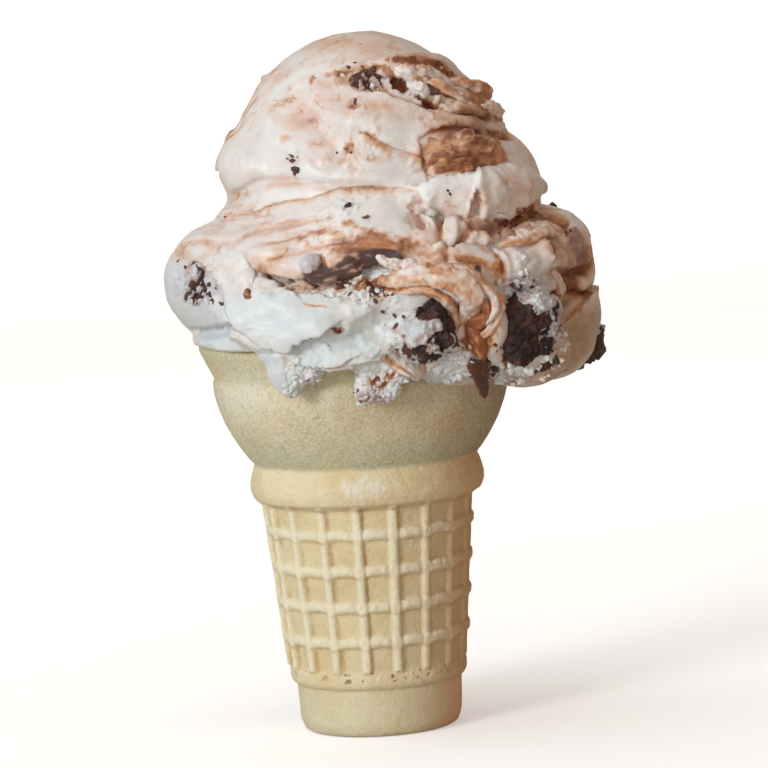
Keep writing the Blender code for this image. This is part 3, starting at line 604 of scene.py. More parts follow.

# What shows along a route on the skin, from left to right, so that up is its upper side. A lip is a
# ragged edge whose upper side lies over the lower; it runs from right to left where the lower side
# does. Each paint is (strength, how far up its middle lies, half width in mm).
# Dark paint in a crease, or just below a lip's edge, is partly the ripple and fudge gathered in the fold and partly
# painted shade.
routes = {
    "domeFoot": {
        "kind": "crease", "at": ((-90, 107.5), (-47, 110.5), (-30, 111.5), (-15, 111), (-4, 110.5), (8, 110), (21, 109.5)),
        "deep": 0.9, "wide": 0.8, "paints": {"caramel": (0.22, 0.1, 0.35), "ripple": (0.16, -0.7, 1.0)}},
    "foldA": {
        "kind": "lip", "at": ((-80, 103.5), (-48, 105.5), (-30, 107.5), (-17, 108), (-1, 110), (19, 109.3), (29, 106.4)),
        "high": 0.5, "deep": 0.35, "wide": 4.0, "edge": 0.3, "lean": 0.35, "ragged": 0.25,
        "paints": {"ripple": (0.26, -0.3, 0.45), "caramel": (0.10, -0.2, 0.25)}},
    "foldB": {
        "kind": "lip", "at": ((-78, 98.6), (-61, 101), (-50, 100.5), (-43, 101), (-37, 102.5), (-29, 103.5), (-17, 105), (-5, 105.5)),
        "high": 0.5, "deep": 0.5, "wide": 3.0, "edge": 0.3, "lean": 0.5, "ragged": 0.3,
        "paints": {"caramel": (0.34, -0.25, 0.3), "ripple": (0.16, -1.0, 1.1)}},
    "peachA": {
        "kind": "ridge", "at": ((-44, 100.5), (-34, 101), (-24, 102), (-12, 103), (0, 102.6), (12, 101.5)),
        "high": 0.5, "wide": 1.0, "paints": {"ripple": (0.16, 0.8, 0.8)}},
    "peachB": {
        "kind": "ridge", "at": ((-38, 98.6), (-28, 98.8), (-18, 99.8), (-6, 101), (6, 100.6), (16, 99.4)),
        "high": 0.7, "wide": 1.2, "paints": {"ripple": (0.22, 0.9, 0.8), "caramel": (0.14, 1.2, 0.5)}},
    "peachC": {
        "kind": "crease", "at": ((-36, 97.6), (-27, 97), (-18, 97.8), (-8, 99.6), (4, 99.4), (14, 98)),
        "deep": 0.4, "wide": 0.5, "paints": {"ripple": (0.26, 0, 0.5)}},
    "peachEdge": {
        "kind": "lip", "at": ((-42, 99.2), (-38, 97.9), (-34, 96.4), (-30, 95.0), (-25, 94.4), (-21, 94.0), (-16, 93.2), (-12, 92.8)),
        "high": 1.1, "deep": 2.2, "wide": 4.5, "edge": 0.35, "lean": 1.1, "ragged": 0.12,
        "paints": {"fudge": (0.75, -0.4, 0.4), "caramel": (0.55, 0.1, 0.5), "ripple": (0.2, 1.2, 1.4)}},
    "flap": {
        "kind": "lip", "at": ((-13, 88.8), (-17, 89.8), (-20, 90.8), (-24, 92), (-28, 93.1), (-32, 94.6), (-36, 96.4), (-41, 98.6)),
        "high": 1.1, "deep": 1.0, "wide": 5.0, "edge": 0.3, "lean": 0.9, "ragged": 0.9,
        "paints": {"ripple": (0.45, -0.9, 0.7), "bright": (0.8, 0.8, 1.0)}},
    "swirl": {
        "kind": "lip", "at": ((-21, 94.8), (-17, 93.8), (-11, 92.8), (-5, 93.6), (0, 94.8), (4, 95.8), (9, 96.2), (14, 95.6), (19, 94.0)),
        "high": 1.2, "deep": 2.0, "wide": 4.0, "edge": 0.35, "lean": 1.2, "ragged": 0.12,
        "paints": {"fudge": (1.0, 0.9, 0.95), "ripple": (0.55, 1.2, 1.5), "caramel": (0.35, 2.2, 0.6), "grey": (0.3, 1.0, 1.0)}},
    "swirlTop": {
        "kind": "crease", "at": ((-9, 97.4), (-5, 97.6), (-1, 98.0), (4, 98.2), (8, 97.8), (13, 97.0), (19, 95.6)),
        "deep": 0.8, "wide": 0.6, "paints": {"fudge": (0.42, -0.2, 0.5), "ripple": (0.5, 0.7, 1.1), "caramel": (0.45, 1.0, 0.6)}},
    "swirlLineA": {
        "kind": "crease", "at": ((-9, 94.6), (-4, 95.4), (0, 96.6), (5, 97.2), (9, 97.0)),
        "deep": 0.4, "wide": 0.35, "paints": {"fudge": (-0.75, 0.0, 0.2)}},
    "swirlLineB": {
        "kind": "crease", "at": ((-14, 93.8), (-9, 93.7), (-4, 94.6), (1, 95.9), (6, 96.6), (11, 96.4)),
        "deep": 0.4, "wide": 0.35, "paints": {"fudge": (-0.75, 0.0, 0.18)}},
    "slabEdge": {
        "kind": "lip", "at": ((-29, 80.8), (-25, 80.3), (-20, 80.9), (-17, 82), (-14, 82.6), (-10, 83.6), (-6, 84.6), (-2, 86)),
        "high": 1.3, "deep": 1.8, "wide": 4.5, "edge": 0.3, "lean": 1.2, "ragged": 0.6,
        "paints": {"bright": (0.6, 0.8, 1.2)}},
    "slabLeft": {
        "kind": "lip", "at": ((-50, 98), (-47, 95), (-43.5, 91.8), (-40, 89.2), (-37, 86.5), (-33.5, 84), (-30.5, 82), (-28, 80.6)),
        "high": 1.2, "deep": 1.6, "wide": 4.5, "edge": 0.4, "lean": 0.9, "ragged": 0.25,
        "paints": {"ripple": (0.22, -0.6, 1.0)}},
    "slabRipple": {
        "kind": "ridge", "at": ((-34, 92.5), (-28, 89.8), (-22, 87.6), (-15, 86.2), (-8, 86)),
        "high": 0.4, "wide": 1.8, "paints": {"bright": (0.2, 0, 1.0)}},
    "layerEdge": {
        "kind": "lip", "at": ((-24, 78.9), (-19, 77.6), (-14, 76.9), (-7, 76.9), (-3, 77.7), (1, 78.4)),
        "high": 0.8, "deep": 1.6, "wide": 2.4, "edge": 0.35, "lean": 0.8, "ragged": 0.2,
        "paints": {"ripple": (0.2, -0.3, 0.6)}},
    "slabStreak": {
        "kind": "ridge", "at": ((-17, 89.5), (-14, 88.5), (-12, 88), (-9, 87.6), (-6, 87)),
        "high": 0.12, "wide": 0.3, "paints": {"caramel": (0.75, 0, 0.3)}},
    "lobeUnder": {
        "kind": "crease", "at": ((-88, 81.6), (-70, 81.8), (-56, 82.4), (-46, 83.6), (-38, 84.4), (-33, 83.2)),
        "deep": 2.0, "wide": 0.9, "paints": {"ripple": (0.14, 0.2, 0.8), "fudge": (0.3, 0, 0.3)}},
    "curlATop": {
        "kind": "lip", "at": ((66, 112.2), (59, 111.6), (50, 111.6), (44, 110.8), (39, 110.4), (33, 109.9), (27, 109.2), (20, 109)),
        "high": 1.4, "deep": 1.6, "wide": 4.5, "edge": 0.3, "lean": 1.2, "ragged": 0.8,
        "paints": {"bright": (0.7, 0.8, 1.0)}},
    "curlABottom": {
        "kind": "lip", "at": ((22, 108.8), (26, 107), (30, 105.3), (36, 103.4), (40, 102.4), (44, 102), (50, 102.3), (56, 103.2), (66, 103.5)),
        "high": 1.1, "deep": 1.4, "wide": 4.5, "edge": 0.4, "lean": 1.2, "ragged": 0.15,
        "paints": {"caramel": (0.35, 0.6, 0.4), "ripple": (0.4, -1.0, 1.0)}},
    "underCurl": {
        "kind": "crease", "at": ((27, 104.8), (32, 102.4), (37, 100.6), (43, 99.8), (50, 100), (57, 100.6)),
        "deep": 0.35, "wide": 0.6, "paints": {"ripple": (0.4, 0.0, 0.6), "caramel": (0.15, 0, 0.35)}},
    # Brown down the right edge of the front mound: a stain and painted shade.
    "stainAndShadeRight": {
        "kind": "ridge", "at": ((19, 107.8), (22, 104.6), (23.5, 101.4), (22.5, 98.4)),
        "high": 0.4, "wide": 1.6, "paints": {"ripple": (0.60, 0.0, 1.2)}},
    "frontMoundEdge": {
        "kind": "lip", "at": ((26, 98.6), (27, 101), (26.5, 103.6), (25, 106)),
        "high": 0.5, "deep": 0.4, "wide": 3.0, "edge": 0.6, "lean": 0.2, "ragged": 0.1,
        "paints": {"ripple": (0.3, -0.6, 0.8)}},
    "foldD": {
        "kind": "lip", "at": ((64, 99.8), (57, 98.6), (51, 97.8), (43, 97.2), (36, 96.8), (30, 96.6), (25, 97.6), (20, 99.4)),
        "high": 1.1, "deep": 1.4, "wide": 3.5, "edge": 0.35, "lean": 0.9, "ragged": 0.4,
        "paints": {"ripple": (0.5, -0.8, 0.9), "caramel": (0.4, -0.4, 0.5), "bright": (0.3, 0.9, 0.8)}},
    "foldE": {
        "kind": "lip", "at": ((14, 96.2), (17, 95.4), (21, 94.4), (25, 93.6), (29, 92.6), (33, 90.8), (36, 88.6), (38, 86)),
        "high": 1.0, "deep": 1.9, "wide": 2.6, "edge": 0.35, "lean": 0.8, "ragged": 0.12,
        "paints": {"caramel": (0.60, -0.3, 0.5), "ripple": (0.35, 0.9, 0.7), "fudge": (0.35, -0.6, 0.3)}},
    "foldDLine": {
        "kind": "crease", "at": ((25, 95.9), (31, 95.0), (37, 94.2), (42, 92.6)),
        "deep": 0.7, "wide": 0.5, "paints": {"ripple": (0.35, 0.0, 0.6), "caramel": (0.3, 0.4, 0.5)}},
    "patchEdge": {
        "kind": "lip", "at": ((42, 97.2), (41.5, 95), (41.5, 92.5), (42, 89.6)),
        "high": 0.6, "deep": 0.9, "wide": 1.8, "edge": 0.3, "lean": 0.3, "ragged": 0.2,
        "paints": {"caramel": (0.62, -0.9, 0.9)}},
    "moundLeft": {
        "kind": "lip", "at": ((55, 90.2), (55.5, 93), (56, 96), (57, 99), (58, 102)),
        "high": 1.4, "deep": 1.8, "wide": 3.0, "edge": 0.4, "lean": 0.9, "ragged": 0.3,
        "paints": {"ripple": (0.5, -0.6, 0.9), "caramel": (0.3, -0.4, 0.4)}},
    "moundCrease": {
        "kind": "crease", "at": ((53, 92), (58, 90.6), (64, 89.8), (72, 89.6), (84, 90)),
        "deep": 2.0, "wide": 1.1, "paints": {"ripple": (0.6, 0.4, 1.2), "fudge": (0.35, 0.0, 0.5)}},
    "moundTop": {
        "kind": "crease", "at": ((52, 100), (60, 102.4), (68, 103.6), (80, 104.2), (96, 104.2)),
        "deep": 2.0, "wide": 1.2, "paints": {"caramel": (0.7, -0.6, 1.2), "ripple": (0.5, 0, 2.0)}},
    "lobeTop": {
        "kind": "lip", "at": ((100, 85.6), (86, 84.6), (74, 84.6), (63, 85.4), (55, 86.4)),
        "high": 1.0, "deep": 2.2, "wide": 3.0, "edge": 0.4, "lean": 0.8, "ragged": 0.3,
        "paints": {"ripple": (0.7, -0.9, 1.4), "caramel": (0.4, 0.2, 0.8)}},
    "rearFoldA": {
        "kind": "crease", "at": ((60, 88.6), (63, 86.4), (65, 84), (66, 81.6)),
        "deep": 1.2, "wide": 0.7, "paints": {"ripple": (0.6, 0.2, 0.8), "fudge": (0.35, 0, 0.4)}},
    "crownTear": {
        "kind": "lip", "at": ((44, 122.6), (37, 123.2), (31, 124.2), (26, 125.6), (17, 127.2), (10, 127.8), (4, 128.4)),
        "high": 0.8, "deep": 1.1, "wide": 3.5, "edge": 0.3, "lean": 0.6, "ragged": 0.5,
        "paints": {"ripple": (0.35, -0.8, 0.8), "caramel": (0.35, 0.4, 0.4)}},
    "crownRidge": {
        "kind": "lip", "at": ((15, 130.8), (22, 130.6), (30, 130.2), (38, 129.6), (46, 128.4), (54, 126.6), (60, 125), (66, 123.4)),
        "high": 1.2, "deep": 1.8, "wide": 2.6, "edge": 0.3, "lean": 1.1, "ragged": 0.7,
        "paints": {"bright": (0.7, 1.0, 0.9), "fudge": (0.3, -0.6, 0.4)}},
    "crownRidgeB": {
        "kind": "lip", "at": ((30, 127.2), (38, 126.4), (45, 125.2), (52, 123.8)),
        "high": 0.9, "deep": 1.2, "wide": 1.8, "edge": 0.3, "lean": 0.7, "ragged": 0.7,
        "paints": {"caramel": (0.6, -0.5, 0.6)}},
    "crownStreak": {
        "kind": "crease", "at": ((22, 133.2), (34, 133.4), (48, 132.8), (58, 130.8), (66, 128.8), (74, 127), (84, 125)),
        "deep": 0.6, "wide": 0.8, "paints": {"ripple": (0.45, 0.0, 1.0), "caramel": (0.2, -0.2, 0.6)}},
    "crownUnder": {
        "kind": "lip", "at": ((44, 122.6), (50, 122.8), (57, 122.6), (66, 121.4), (76, 120)),
        "high": 1.0, "deep": 2.4, "wide": 2.4, "edge": 0.4, "lean": 1.0, "ragged": 0.3,
        "paints": {"fudge": (0.5, -0.5, 0.5), "ripple": (0.6, 0.4, 1.4)}},
    "rightNotch": {
        "kind": "crease", "at": ((60, 119.4), (68, 117.8), (76, 117), (88, 116.6)),
        "deep": 1.8, "wide": 1.1, "paints": {"ripple": (0.7, 0.4, 1.6)}},
    "hollowRim": {
        "kind": "lip", "at": ((28, 116.5), (33, 119.0), (40, 120.2), (48, 120.0), (56, 118.6), (64, 116)),
        "high": 0.7, "deep": 0.3, "wide": 3.0, "edge": 0.4, "lean": 0.5, "ragged": 0.3,
        "paints": {"ripple": (0.6, -0.4, 0.7), "caramel": (0.3, 0.4, 0.4)}},
    "hollowLeft": {
        "kind": "lip", "at": ((29.5, 110.0), (28.4, 113), (28.8, 116), (30, 119)),
        "high": 0.5, "deep": 0.3, "wide": 2.4, "edge": 0.35, "lean": 0.3, "ragged": 0.3,
        "paints": {"ripple": (0.25, 0.1, 0.5)}},
    "domeDent": {
        "kind": "lip", "at": ((34, 112.4), (30, 113.2), (24, 115), (18, 116.4), (13, 117.7), (9, 119.4), (4, 121.4)),
        "high": 0.9, "deep": 0.6, "wide": 4.0, "edge": 0.5, "lean": 0.5, "ragged": 0.15,
        "paints": {"caramel": (0.52, 0.8, 0.7), "ripple": (0.30, 0.2, 1.0)}},
    "domeFoldTop": {
        "kind": "ridge", "at": ((-34, 131), (-18, 128.6), (-4, 125.6), (8, 124), (22, 121.6), (30, 120.4)),
        "high": 0.5, "wide": 2.4, "paints": {"ripple": (0.10, 1.5, 2.2), "caramel": (0.12, 0.4, 0.8)}},
    "domeDiagonalA": {
        "kind": "ridge", "at": ((-52, 124), (-38, 121), (-24, 117.4), (-12, 113.4), (-4, 111.4)),
        "high": 0.55, "wide": 2.4, "paints": {"ripple": (-0.16, 0.5, 1.8)}},
    "domeDiagonalB": {
        "kind": "crease", "at": ((-40, 128), (-24, 124.6), (-10, 120), (0, 115.4), (7, 112.4)),
        "deep": 0.45, "wide": 2.0, "paints": {"ripple": (0.12, 0.0, 1.8)}},
    "domeArc": {
        "kind": "crease", "at": ((-16, 118), (-13, 114.5), (-6, 113.2), (0, 115), (3, 118)),
        "deep": 0.35, "wide": 0.8, "paints": {"ripple": (0.20, 0.0, 1.0)}},
    "cheekStreakA": {
        "kind": "crease", "at": ((-70, 129.4), (-76, 127), (-82, 123.6), (-86, 120), (-84, 116.6), (-78, 114.4)),
        "deep": 0.25, "wide": 0.8, "paints": {"fudge": (0.30, 0.0, 0.5), "ripple": (0.75, 0.1, 1.0), "caramel": (0.2, -0.6, 0.6)}},
    "cheekStreakB": {
        "kind": "crease", "at": ((-66, 126), (-72, 121), (-76, 117), (-72, 113), (-66, 109.5)),
        "deep": 0.15, "wide": 0.6, "paints": {"ripple": (0.40, 0.0, 0.7)}},
    "cheekStreakC": {
        "kind": "crease", "at": ((-62, 128.6), (-70, 125.6), (-78, 121.6)),
        "deep": 0.15, "wide": 0.5, "paints": {"ripple": (0.6, 0.0, 0.5)}},
    "shoulderLine": {
        "kind": "crease", "at": ((-84, 101.6), (-70, 103.2), (-58, 104.0), (-46, 103.4)),
        "deep": 0.3, "wide": 0.5, "paints": {"ripple": (0.25, 0.0, 0.8), "caramel": (0.12, 0, 0.4)}},
    "leftLobeStreak": {
        "kind": "crease", "at": ((-86, 98), (-72, 99), (-60, 97.6), (-50, 94.6), (-44, 91.4)),
        "deep": 0.5, "wide": 0.9, "paints": {"ripple": (0.24, 0.2, 1.4)}},
    "hangStreak": {
        "kind": "lip", "at": ((9, 76.4), (13, 74.2), (17, 72.8), (22, 72.8)),
        "high": 0.6, "deep": 1.0, "wide": 2.4, "edge": 0.3, "lean": 0.6, "ragged": 0.3,
        "paints": {"ripple": (0.7, -0.4, 0.7), "caramel": (0.4, -0.4, 0.5)}},
}

# Patches on the skin: a place, the radii across and along in mm, a tilt, and what shows there. Dig is
# how deep it is, torn how crumbly, and fibre how deep its fine grooves are. Cool paint is painted cool
# light; grey paint is the cream's own mauve grey in some patches and painted shade in others, as on the
# slab, the tongue and the left lobe.
patches = {
    "crownHollowA": {"at": (31, 128.6), "radii": (2.2, 1.5), "tilt": -20, "dig": 2.4, "paints": {"fudge": 0.15, "caramel": 1.0}},
    "crownHollowB": {"at": (41, 124.9), "radii": (2.8, 1.3), "tilt": -30, "dig": 2.4, "paints": {"fudge": 0.2, "caramel": 1.0}},
    "crownHollowC": {"at": (48, 127), "radii": (2.2, 1.2), "tilt": -20, "dig": 1.4, "paints": {"caramel": 1.0}},
    "crownWhite": {"at": (35.5, 127.4), "radii": (1.9, 1.2), "tilt": 10, "dig": -0.9, "torn": 0.5, "paints": {"bright": 0.8, "fudge": -0.8, "caramel": -0.8}},
    "crownTorn": {"at": (46, 127), "radii": (9.0, 4.6), "tilt": -14, "dig": 0.3, "torn": 0.45, "fibre": 0.45, "lines": 0.40, "paints": {"bright": 0.3, "ripple": 0.02}},
    "crownTip": {"at": (66, 125.4), "radii": (3.5, 2.8), "tilt": -20, "dig": 0.0, "torn": 0.3, "paints": {"ripple": 0.42, "caramel": 0.3}},
    "crownSmear": {"at": (36, 133.6), "radii": (4.0, 1.1), "tilt": -10, "dig": 0.2, "torn": 0.3, "fibre": 0.2, "lines": 0.5, "paints": {"ripple": 0.48, "caramel": 0.1}},
    "crownSmearHalo": {"at": (40, 132.6), "radii": (8.5, 3.0), "tilt": -14, "dig": 0.0, "torn": 0.15, "fibre": 0.1, "lines": 0.2, "paints": {"ripple": 0.16}},
    "crownSmearRight": {"at": (58, 131.0), "radii": (4.2, 0.8), "tilt": -24, "dig": 0.2, "torn": 0.6, "fibre": 0.2, "lines": 0.5, "paints": {"ripple": 0.45, "caramel": 0.1}},
    "crownStainA": {"at": (56, 127.4), "radii": (2.2, 1.4), "tilt": -20, "dig": 0.0, "torn": 0.4, "paints": {"caramel": 0.45, "ripple": 0.1}},
    "crownStainB": {"at": (24, 131.4), "radii": (2.2, 0.9), "tilt": -30, "dig": 0.2, "torn": 0.3, "paints": {"ripple": 0.55, "caramel": 0.2}},
    "crownStainC": {"at": (37.5, 124.2), "radii": (2.0, 0.8), "tilt": -6, "dig": 0.3, "torn": 0.2, "paints": {"caramel": 0.8}},
    "crownPeach": {"at": (48, 121.8), "radii": (6.0, 2.2), "tilt": -12, "dig": -0.3, "paints": {"ripple": 0.14, "yellow": 0.12}},
    "crownShade": {"at": (56, 119.6), "radii": (3.6, 1.6), "tilt": -20, "dig": 0.0, "fibre": 0.1, "lines": 0.2, "paints": {"ripple": 0.26, "grey": 0.2}},
    "crownLeft": {"at": (9, 131), "radii": (4.6, 3.0), "tilt": 0, "dig": 0.5, "torn": 0.5, "paints": {"ripple": 0.42, "caramel": 0.20}},
    "crownLeftTail": {"at": (17, 128.6), "radii": (2.8, 1.3), "tilt": -40, "dig": 0.4, "torn": 0.5, "paints": {"ripple": 0.5, "caramel": 0.4}},
    "crownLeftSmear": {"at": (-4, 131.6), "radii": (3.0, 0.9), "tilt": 12, "dig": 0.0, "paints": {"ripple": 0.4}},
    "domeTop": {"at": (0, 136), "radii": (24, 5.5), "tilt": 0, "dig": 0.0, "fibre": 0.05, "lines": 0.07, "paints": {"ripple": 0.12}},
    "fudgeHollow": {"at": (45, 114.6), "radii": (9.6, 5.2), "tilt": 4, "dig": -0.6, "torn": 0.3, "fibre": 0.6, "lines": 0.4, "paints": {"ripple": 0.50, "caramel": 0.10}},
    "fudgeGold": {"at": (58, 113.6), "radii": (5.0, 3.0), "tilt": 16, "dig": 0.0, "torn": 0.2, "paints": {"caramel": 0.34, "ripple": -0.3, "yellow": 0.15}},
    "hollowRoof": {"at": (50, 119.4), "radii": (4.0, 1.2), "tilt": -14, "dig": 0.2, "fibre": 0.2, "lines": 0.3, "paints": {"ripple": 0.34, "grey": 0.25}},
    "hollowOrange": {"at": (62, 114.5), "radii": (2.8, 3.6), "tilt": 20, "dig": 0.0, "paints": {"caramel": 0.36, "ripple": 0.15}},
    "whitePlain": {"at": (20, 119.4), "radii": (6.0, 4.2), "tilt": -25, "dig": 0.0, "paints": {"ripple": -0.20, "bright": 0.4}},
    "whiteMound": {"at": (16, 112.6), "radii": (6.5, 3.2), "tilt": -15, "dig": -0.3, "paints": {"ripple": -0.20, "bright": 0.4}},
    "whiteLeft": {"at": (-42, 114.5), "radii": (6.5, 4.5), "tilt": 50, "dig": 0.0, "paints": {"ripple": -0.15, "bright": 0.2}},
    "whiteFoot": {"at": (-8, 113), "radii": (6.5, 1.8), "tilt": 0, "dig": 0.0, "paints": {"ripple": -0.2, "bright": 0.4}},
    "whiteTopLeft": {"at": (-26, 131), "radii": (10, 3.0), "tilt": 26, "dig": 0.0, "paints": {"ripple": -0.12}},
    "greyCentre": {"at": (-12, 121), "radii": (8.0, 5.0), "tilt": 30, "dig": 0.3, "paints": {"grey": 0.26, "ripple": 0.03}},
    "greyLeft": {"at": (-44, 117), "radii": (5.0, 6.5), "tilt": 10, "dig": 0.1, "paints": {"grey": 0.26}},
    "domePink": {"at": (-20, 126), "radii": (14.0, 6.0), "tilt": 16, "dig": 0.0, "paints": {"ripple": 0.05, "grey": 0.08}},
    "domeCream": {"at": (8, 114), "radii": (12.0, 3.0), "tilt": -8, "dig": 0.0, "paints": {"yellow": 0.08}},
    "orangeDots": {"at": (7, 117.4), "radii": (4.0, 3.4), "tilt": 0, "dig": 0.2, "torn": 0.35, "paints": {"caramel": 0.20, "bright": 0.2}},
    "orangeWisp": {"at": (14, 122.6), "radii": (1.0, 3.0), "tilt": 0, "dig": 0.0, "paints": {"caramel": 0.34}},
    "orangeWispB": {"at": (2, 113.6), "radii": (0.8, 2.0), "tilt": 14, "dig": 0.0, "paints": {"caramel": 0.34}},
    "orangeWispC": {"at": (13, 114.6), "radii": (2.4, 0.9), "tilt": 0, "dig": 0.0, "paints": {"caramel": 0.36}},
    "brownDash": {"at": (10, 119.2), "radii": (1.8, 0.8), "tilt": -30, "dig": 0.2, "paints": {"ripple": 0.5, "caramel": 0.4}},
    "brownDashB": {"at": (5, 124.8), "radii": (1.3, 0.7), "tilt": 20, "dig": 0.1, "paints": {"ripple": 0.6}},
    "brownDashC": {"at": (-18, 130.4), "radii": (0.5, 1.6), "tilt": 10, "dig": 0.1, "paints": {"ripple": 0.55, "caramel": 0.3}},
    "brownDashD": {"at": (-28, 119.6), "radii": (1.2, 1.0), "tilt": 10, "dig": 0.1, "paints": {"ripple": 0.3}},
    "brownDashE": {"at": (1, 117.2), "radii": (1.6, 0.9), "tilt": 20, "dig": 0.1, "torn": 0.5, "paints": {"ripple": 0.55}},
    "speckBed": {"at": (-24, 114.6), "radii": (2.4, 3.0), "tilt": 20, "dig": 0.2, "torn": 0.5, "paints": {"bright": 0.6, "caramel": 0.15}},
    "whiteBand": {"at": (-26, 109.2), "radii": (12, 1.2), "tilt": 6, "dig": 0.0, "paints": {"bright": 0.5, "ripple": -0.1}},
    "yellowBand": {"at": (-40, 108.4), "radii": (5, 1.0), "tilt": 10, "dig": 0.0, "paints": {"caramel": 0.22}},
    "frontWhite": {"at": (9, 104), "radii": (8.4, 4.6), "tilt": 0, "dig": -0.5, "paints": {"bright": 0.9, "ripple": -0.4}},
    "frontWhiteTorn": {"at": (-3, 106), "radii": (3.2, 1.8), "tilt": 0, "dig": 0.0, "torn": 0.5, "paints": {"bright": 0.9, "ripple": -0.3}},
    "frontBrown": {"at": (-7, 104.6), "radii": (1.0, 1.4), "tilt": 0, "dig": 0.1, "torn": 0.3, "paints": {"caramel": 0.45}},
    "frontBrownB": {"at": (0, 102.8), "radii": (2.0, 0.8), "tilt": -20, "dig": 0.2, "torn": 0.3, "paints": {"caramel": 0.5, "ripple": 0.3}},
    "peachBand": {"at": (-26, 100.4), "radii": (17, 3.4), "tilt": 5, "dig": 0.0, "fibre": 0.20, "lines": 0.26, "paints": {"ripple": -0.02, "grey": 0.16}},
    "peachRight": {"at": (-3, 101), "radii": (8, 2.2), "tilt": 0, "dig": 0.0, "fibre": 0.16, "lines": 0.30, "paints": {"ripple": 0.20, "caramel": 0.15}},
    "peachLow": {"at": (6, 99), "radii": (9, 1.8), "tilt": 0, "dig": 0.0, "fibre": 0.14, "paints": {"ripple": 0.34}},
    "shoulderPink": {"at": (-56, 104), "radii": (14, 4.0), "tilt": 8, "dig": 0.0, "fibre": 0.10, "lines": 0.14, "paints": {"ripple": -0.08, "grey": 0.16}},
    "nodeMottle": {"at": (-12.0, 95.0), "radii": (2.4, 0.9), "tilt": 0, "dig": 0.0, "torn": 0.1, "paints": {"fudge": 0.6}},
    "nodeRight": {"at": (-9.6, 96.4), "radii": (0.8, 1.8), "tilt": 20, "dig": 0.4, "paints": {"ripple": 0.5, "caramel": 0.4, "fudge": 0.35}},
    "orangeFold": {"at": (14, 92.6), "radii": (4.6, 2.0), "tilt": -10, "dig": 0.5, "fibre": 0.3, "paints": {"ripple": 0.35, "caramel": 0.62}},
    "underSwirl": {"at": (0, 90.6), "radii": (9.0, 2.6), "tilt": -6, "dig": 0.9, "torn": 0.9, "paints": {"bright": 0.6, "caramel": 0.12}},
    "underSwirlBrown": {"at": (3, 91.6), "radii": (3.4, 1.4), "tilt": -20, "dig": 0.5, "torn": 0.7, "paints": {"caramel": 0.66, "fudge": 0.25}},
    "underSwirlBrownB": {"at": (-4, 91.8), "radii": (1.6, 0.9), "tilt": 10, "dig": 0.3, "torn": 0.6, "paints": {"caramel": 0.6, "fudge": 0.3}},
    "underSwirlBrownC": {"at": (7, 89.6), "radii": (1.6, 0.8), "tilt": -30, "dig": 0.3, "torn": 0.6, "paints": {"caramel": 0.6, "fudge": 0.4}},
    "underFlap": {"at": (-17, 91.8), "radii": (4.2, 1.6), "tilt": -14, "dig": 0.6, "torn": 0.6, "paints": {"ripple": 0.26, "bright": 0.3}},
    "slab": {"at": (-20, 86.4), "radii": (13, 5.2), "tilt": -6, "dig": -0.5, "torn": 0.07, "fibre": 0.10, "lines": 0.05, "paints": {"bright": 1.0, "ripple": -0.4, "paintedCoolLight": 1.0, "grey": 0.28}},
    "layer": {"at": (-9, 80), "radii": (8.0, 2.4), "tilt": 4, "dig": 0.0, "torn": 0.05, "paints": {"bright": 1.0, "ripple": -0.4, "paintedCoolLight": 1.1, "grey": 0.12}},
    "layerSpot": {"at": (-5, 83.2), "radii": (1.3, 0.8), "tilt": 0, "dig": 0.3, "torn": 0.5, "paints": {"caramel": 0.7, "fudge": 0.4}},
    "tongue": {"at": (-26, 75.4), "radii": (3.2, 5.6), "tilt": 14, "dig": 0.0, "paints": {"bright": 0.9, "grey": 0.45, "paintedCoolLight": 1.3, "ripple": -0.4}},
    "tongueTorn": {"at": (-15, 75.6), "radii": (3.4, 4.0), "tilt": 0, "dig": 0.2, "torn": 0.75, "paints": {"bright": 1.0, "ripple": -0.3, "grey": -0.8, "paintedCoolLight": 0.5}},
    "tonguePink": {"at": (-21, 75.6), "radii": (0.9, 4.0), "tilt": 8, "dig": 0.2, "paints": {"ripple": 0.22, "grey": -0.5}},
    "leftLobe": {"at": (-62, 88), "radii": (14, 8), "tilt": 0, "dig": 0.0, "paints": {"bright": 0.5, "grey": 0.45, "paintedCoolLight": 1.0, "ripple": -0.2}},
    "rimLayer": {"at": (-52, 80.8), "radii": (16, 2.2), "tilt": 0, "dig": 0.0, "torn": 0.3, "paints": {"bright": 0.8, "grey": 0.15, "paintedCoolLight": 0.9, "ripple": -0.25}},
    "rimPink": {"at": (-38, 81.6), "radii": (2.2, 0.9), "tilt": 10, "dig": 0.0, "torn": 0.3, "paints": {"ripple": 0.5, "caramel": 0.2}},
    "leftLobePink": {"at": (-62, 99), "radii": (13, 3.4), "tilt": -6, "dig": 0.0, "paints": {"ripple": 0.12}},
    "leftBrown": {"at": (-56, 93.4), "radii": (7.0, 4.8), "tilt": -24, "dig": 0.6, "torn": 0.9, "paints": {"bright": 0.4, "grey": 0.4}},
    "leftTan": {"at": (-44, 90.6), "radii": (1.8, 3.0), "tilt": 30, "dig": 0.2, "paints": {"ripple": 0.30}},
    "hangTorn": {"at": (3, 73.4), "radii": (7.0, 6.4), "tilt": 0, "dig": 0.0, "torn": 0.45, "paints": {"bright": 0.8, "ripple": 0.02, "paintedCoolLight": 0.4}},
    "hangBrown": {"at": (6, 72.8), "radii": (2.6, 1.9), "tilt": 10, "dig": 0.3, "torn": 0.8, "fibre": 0.3, "lines": 0.5, "paints": {"caramel": 0.75, "fudge": 0.12, "ripple": 0.2}},
    "hangBrownB": {"at": (0, 69.6), "radii": (1.8, 1.0), "tilt": 10, "dig": 0.3, "torn": 0.9, "fibre": 0.2, "lines": 0.5, "paints": {"caramel": 0.5, "fudge": 0.3, "ripple": 0.3}},
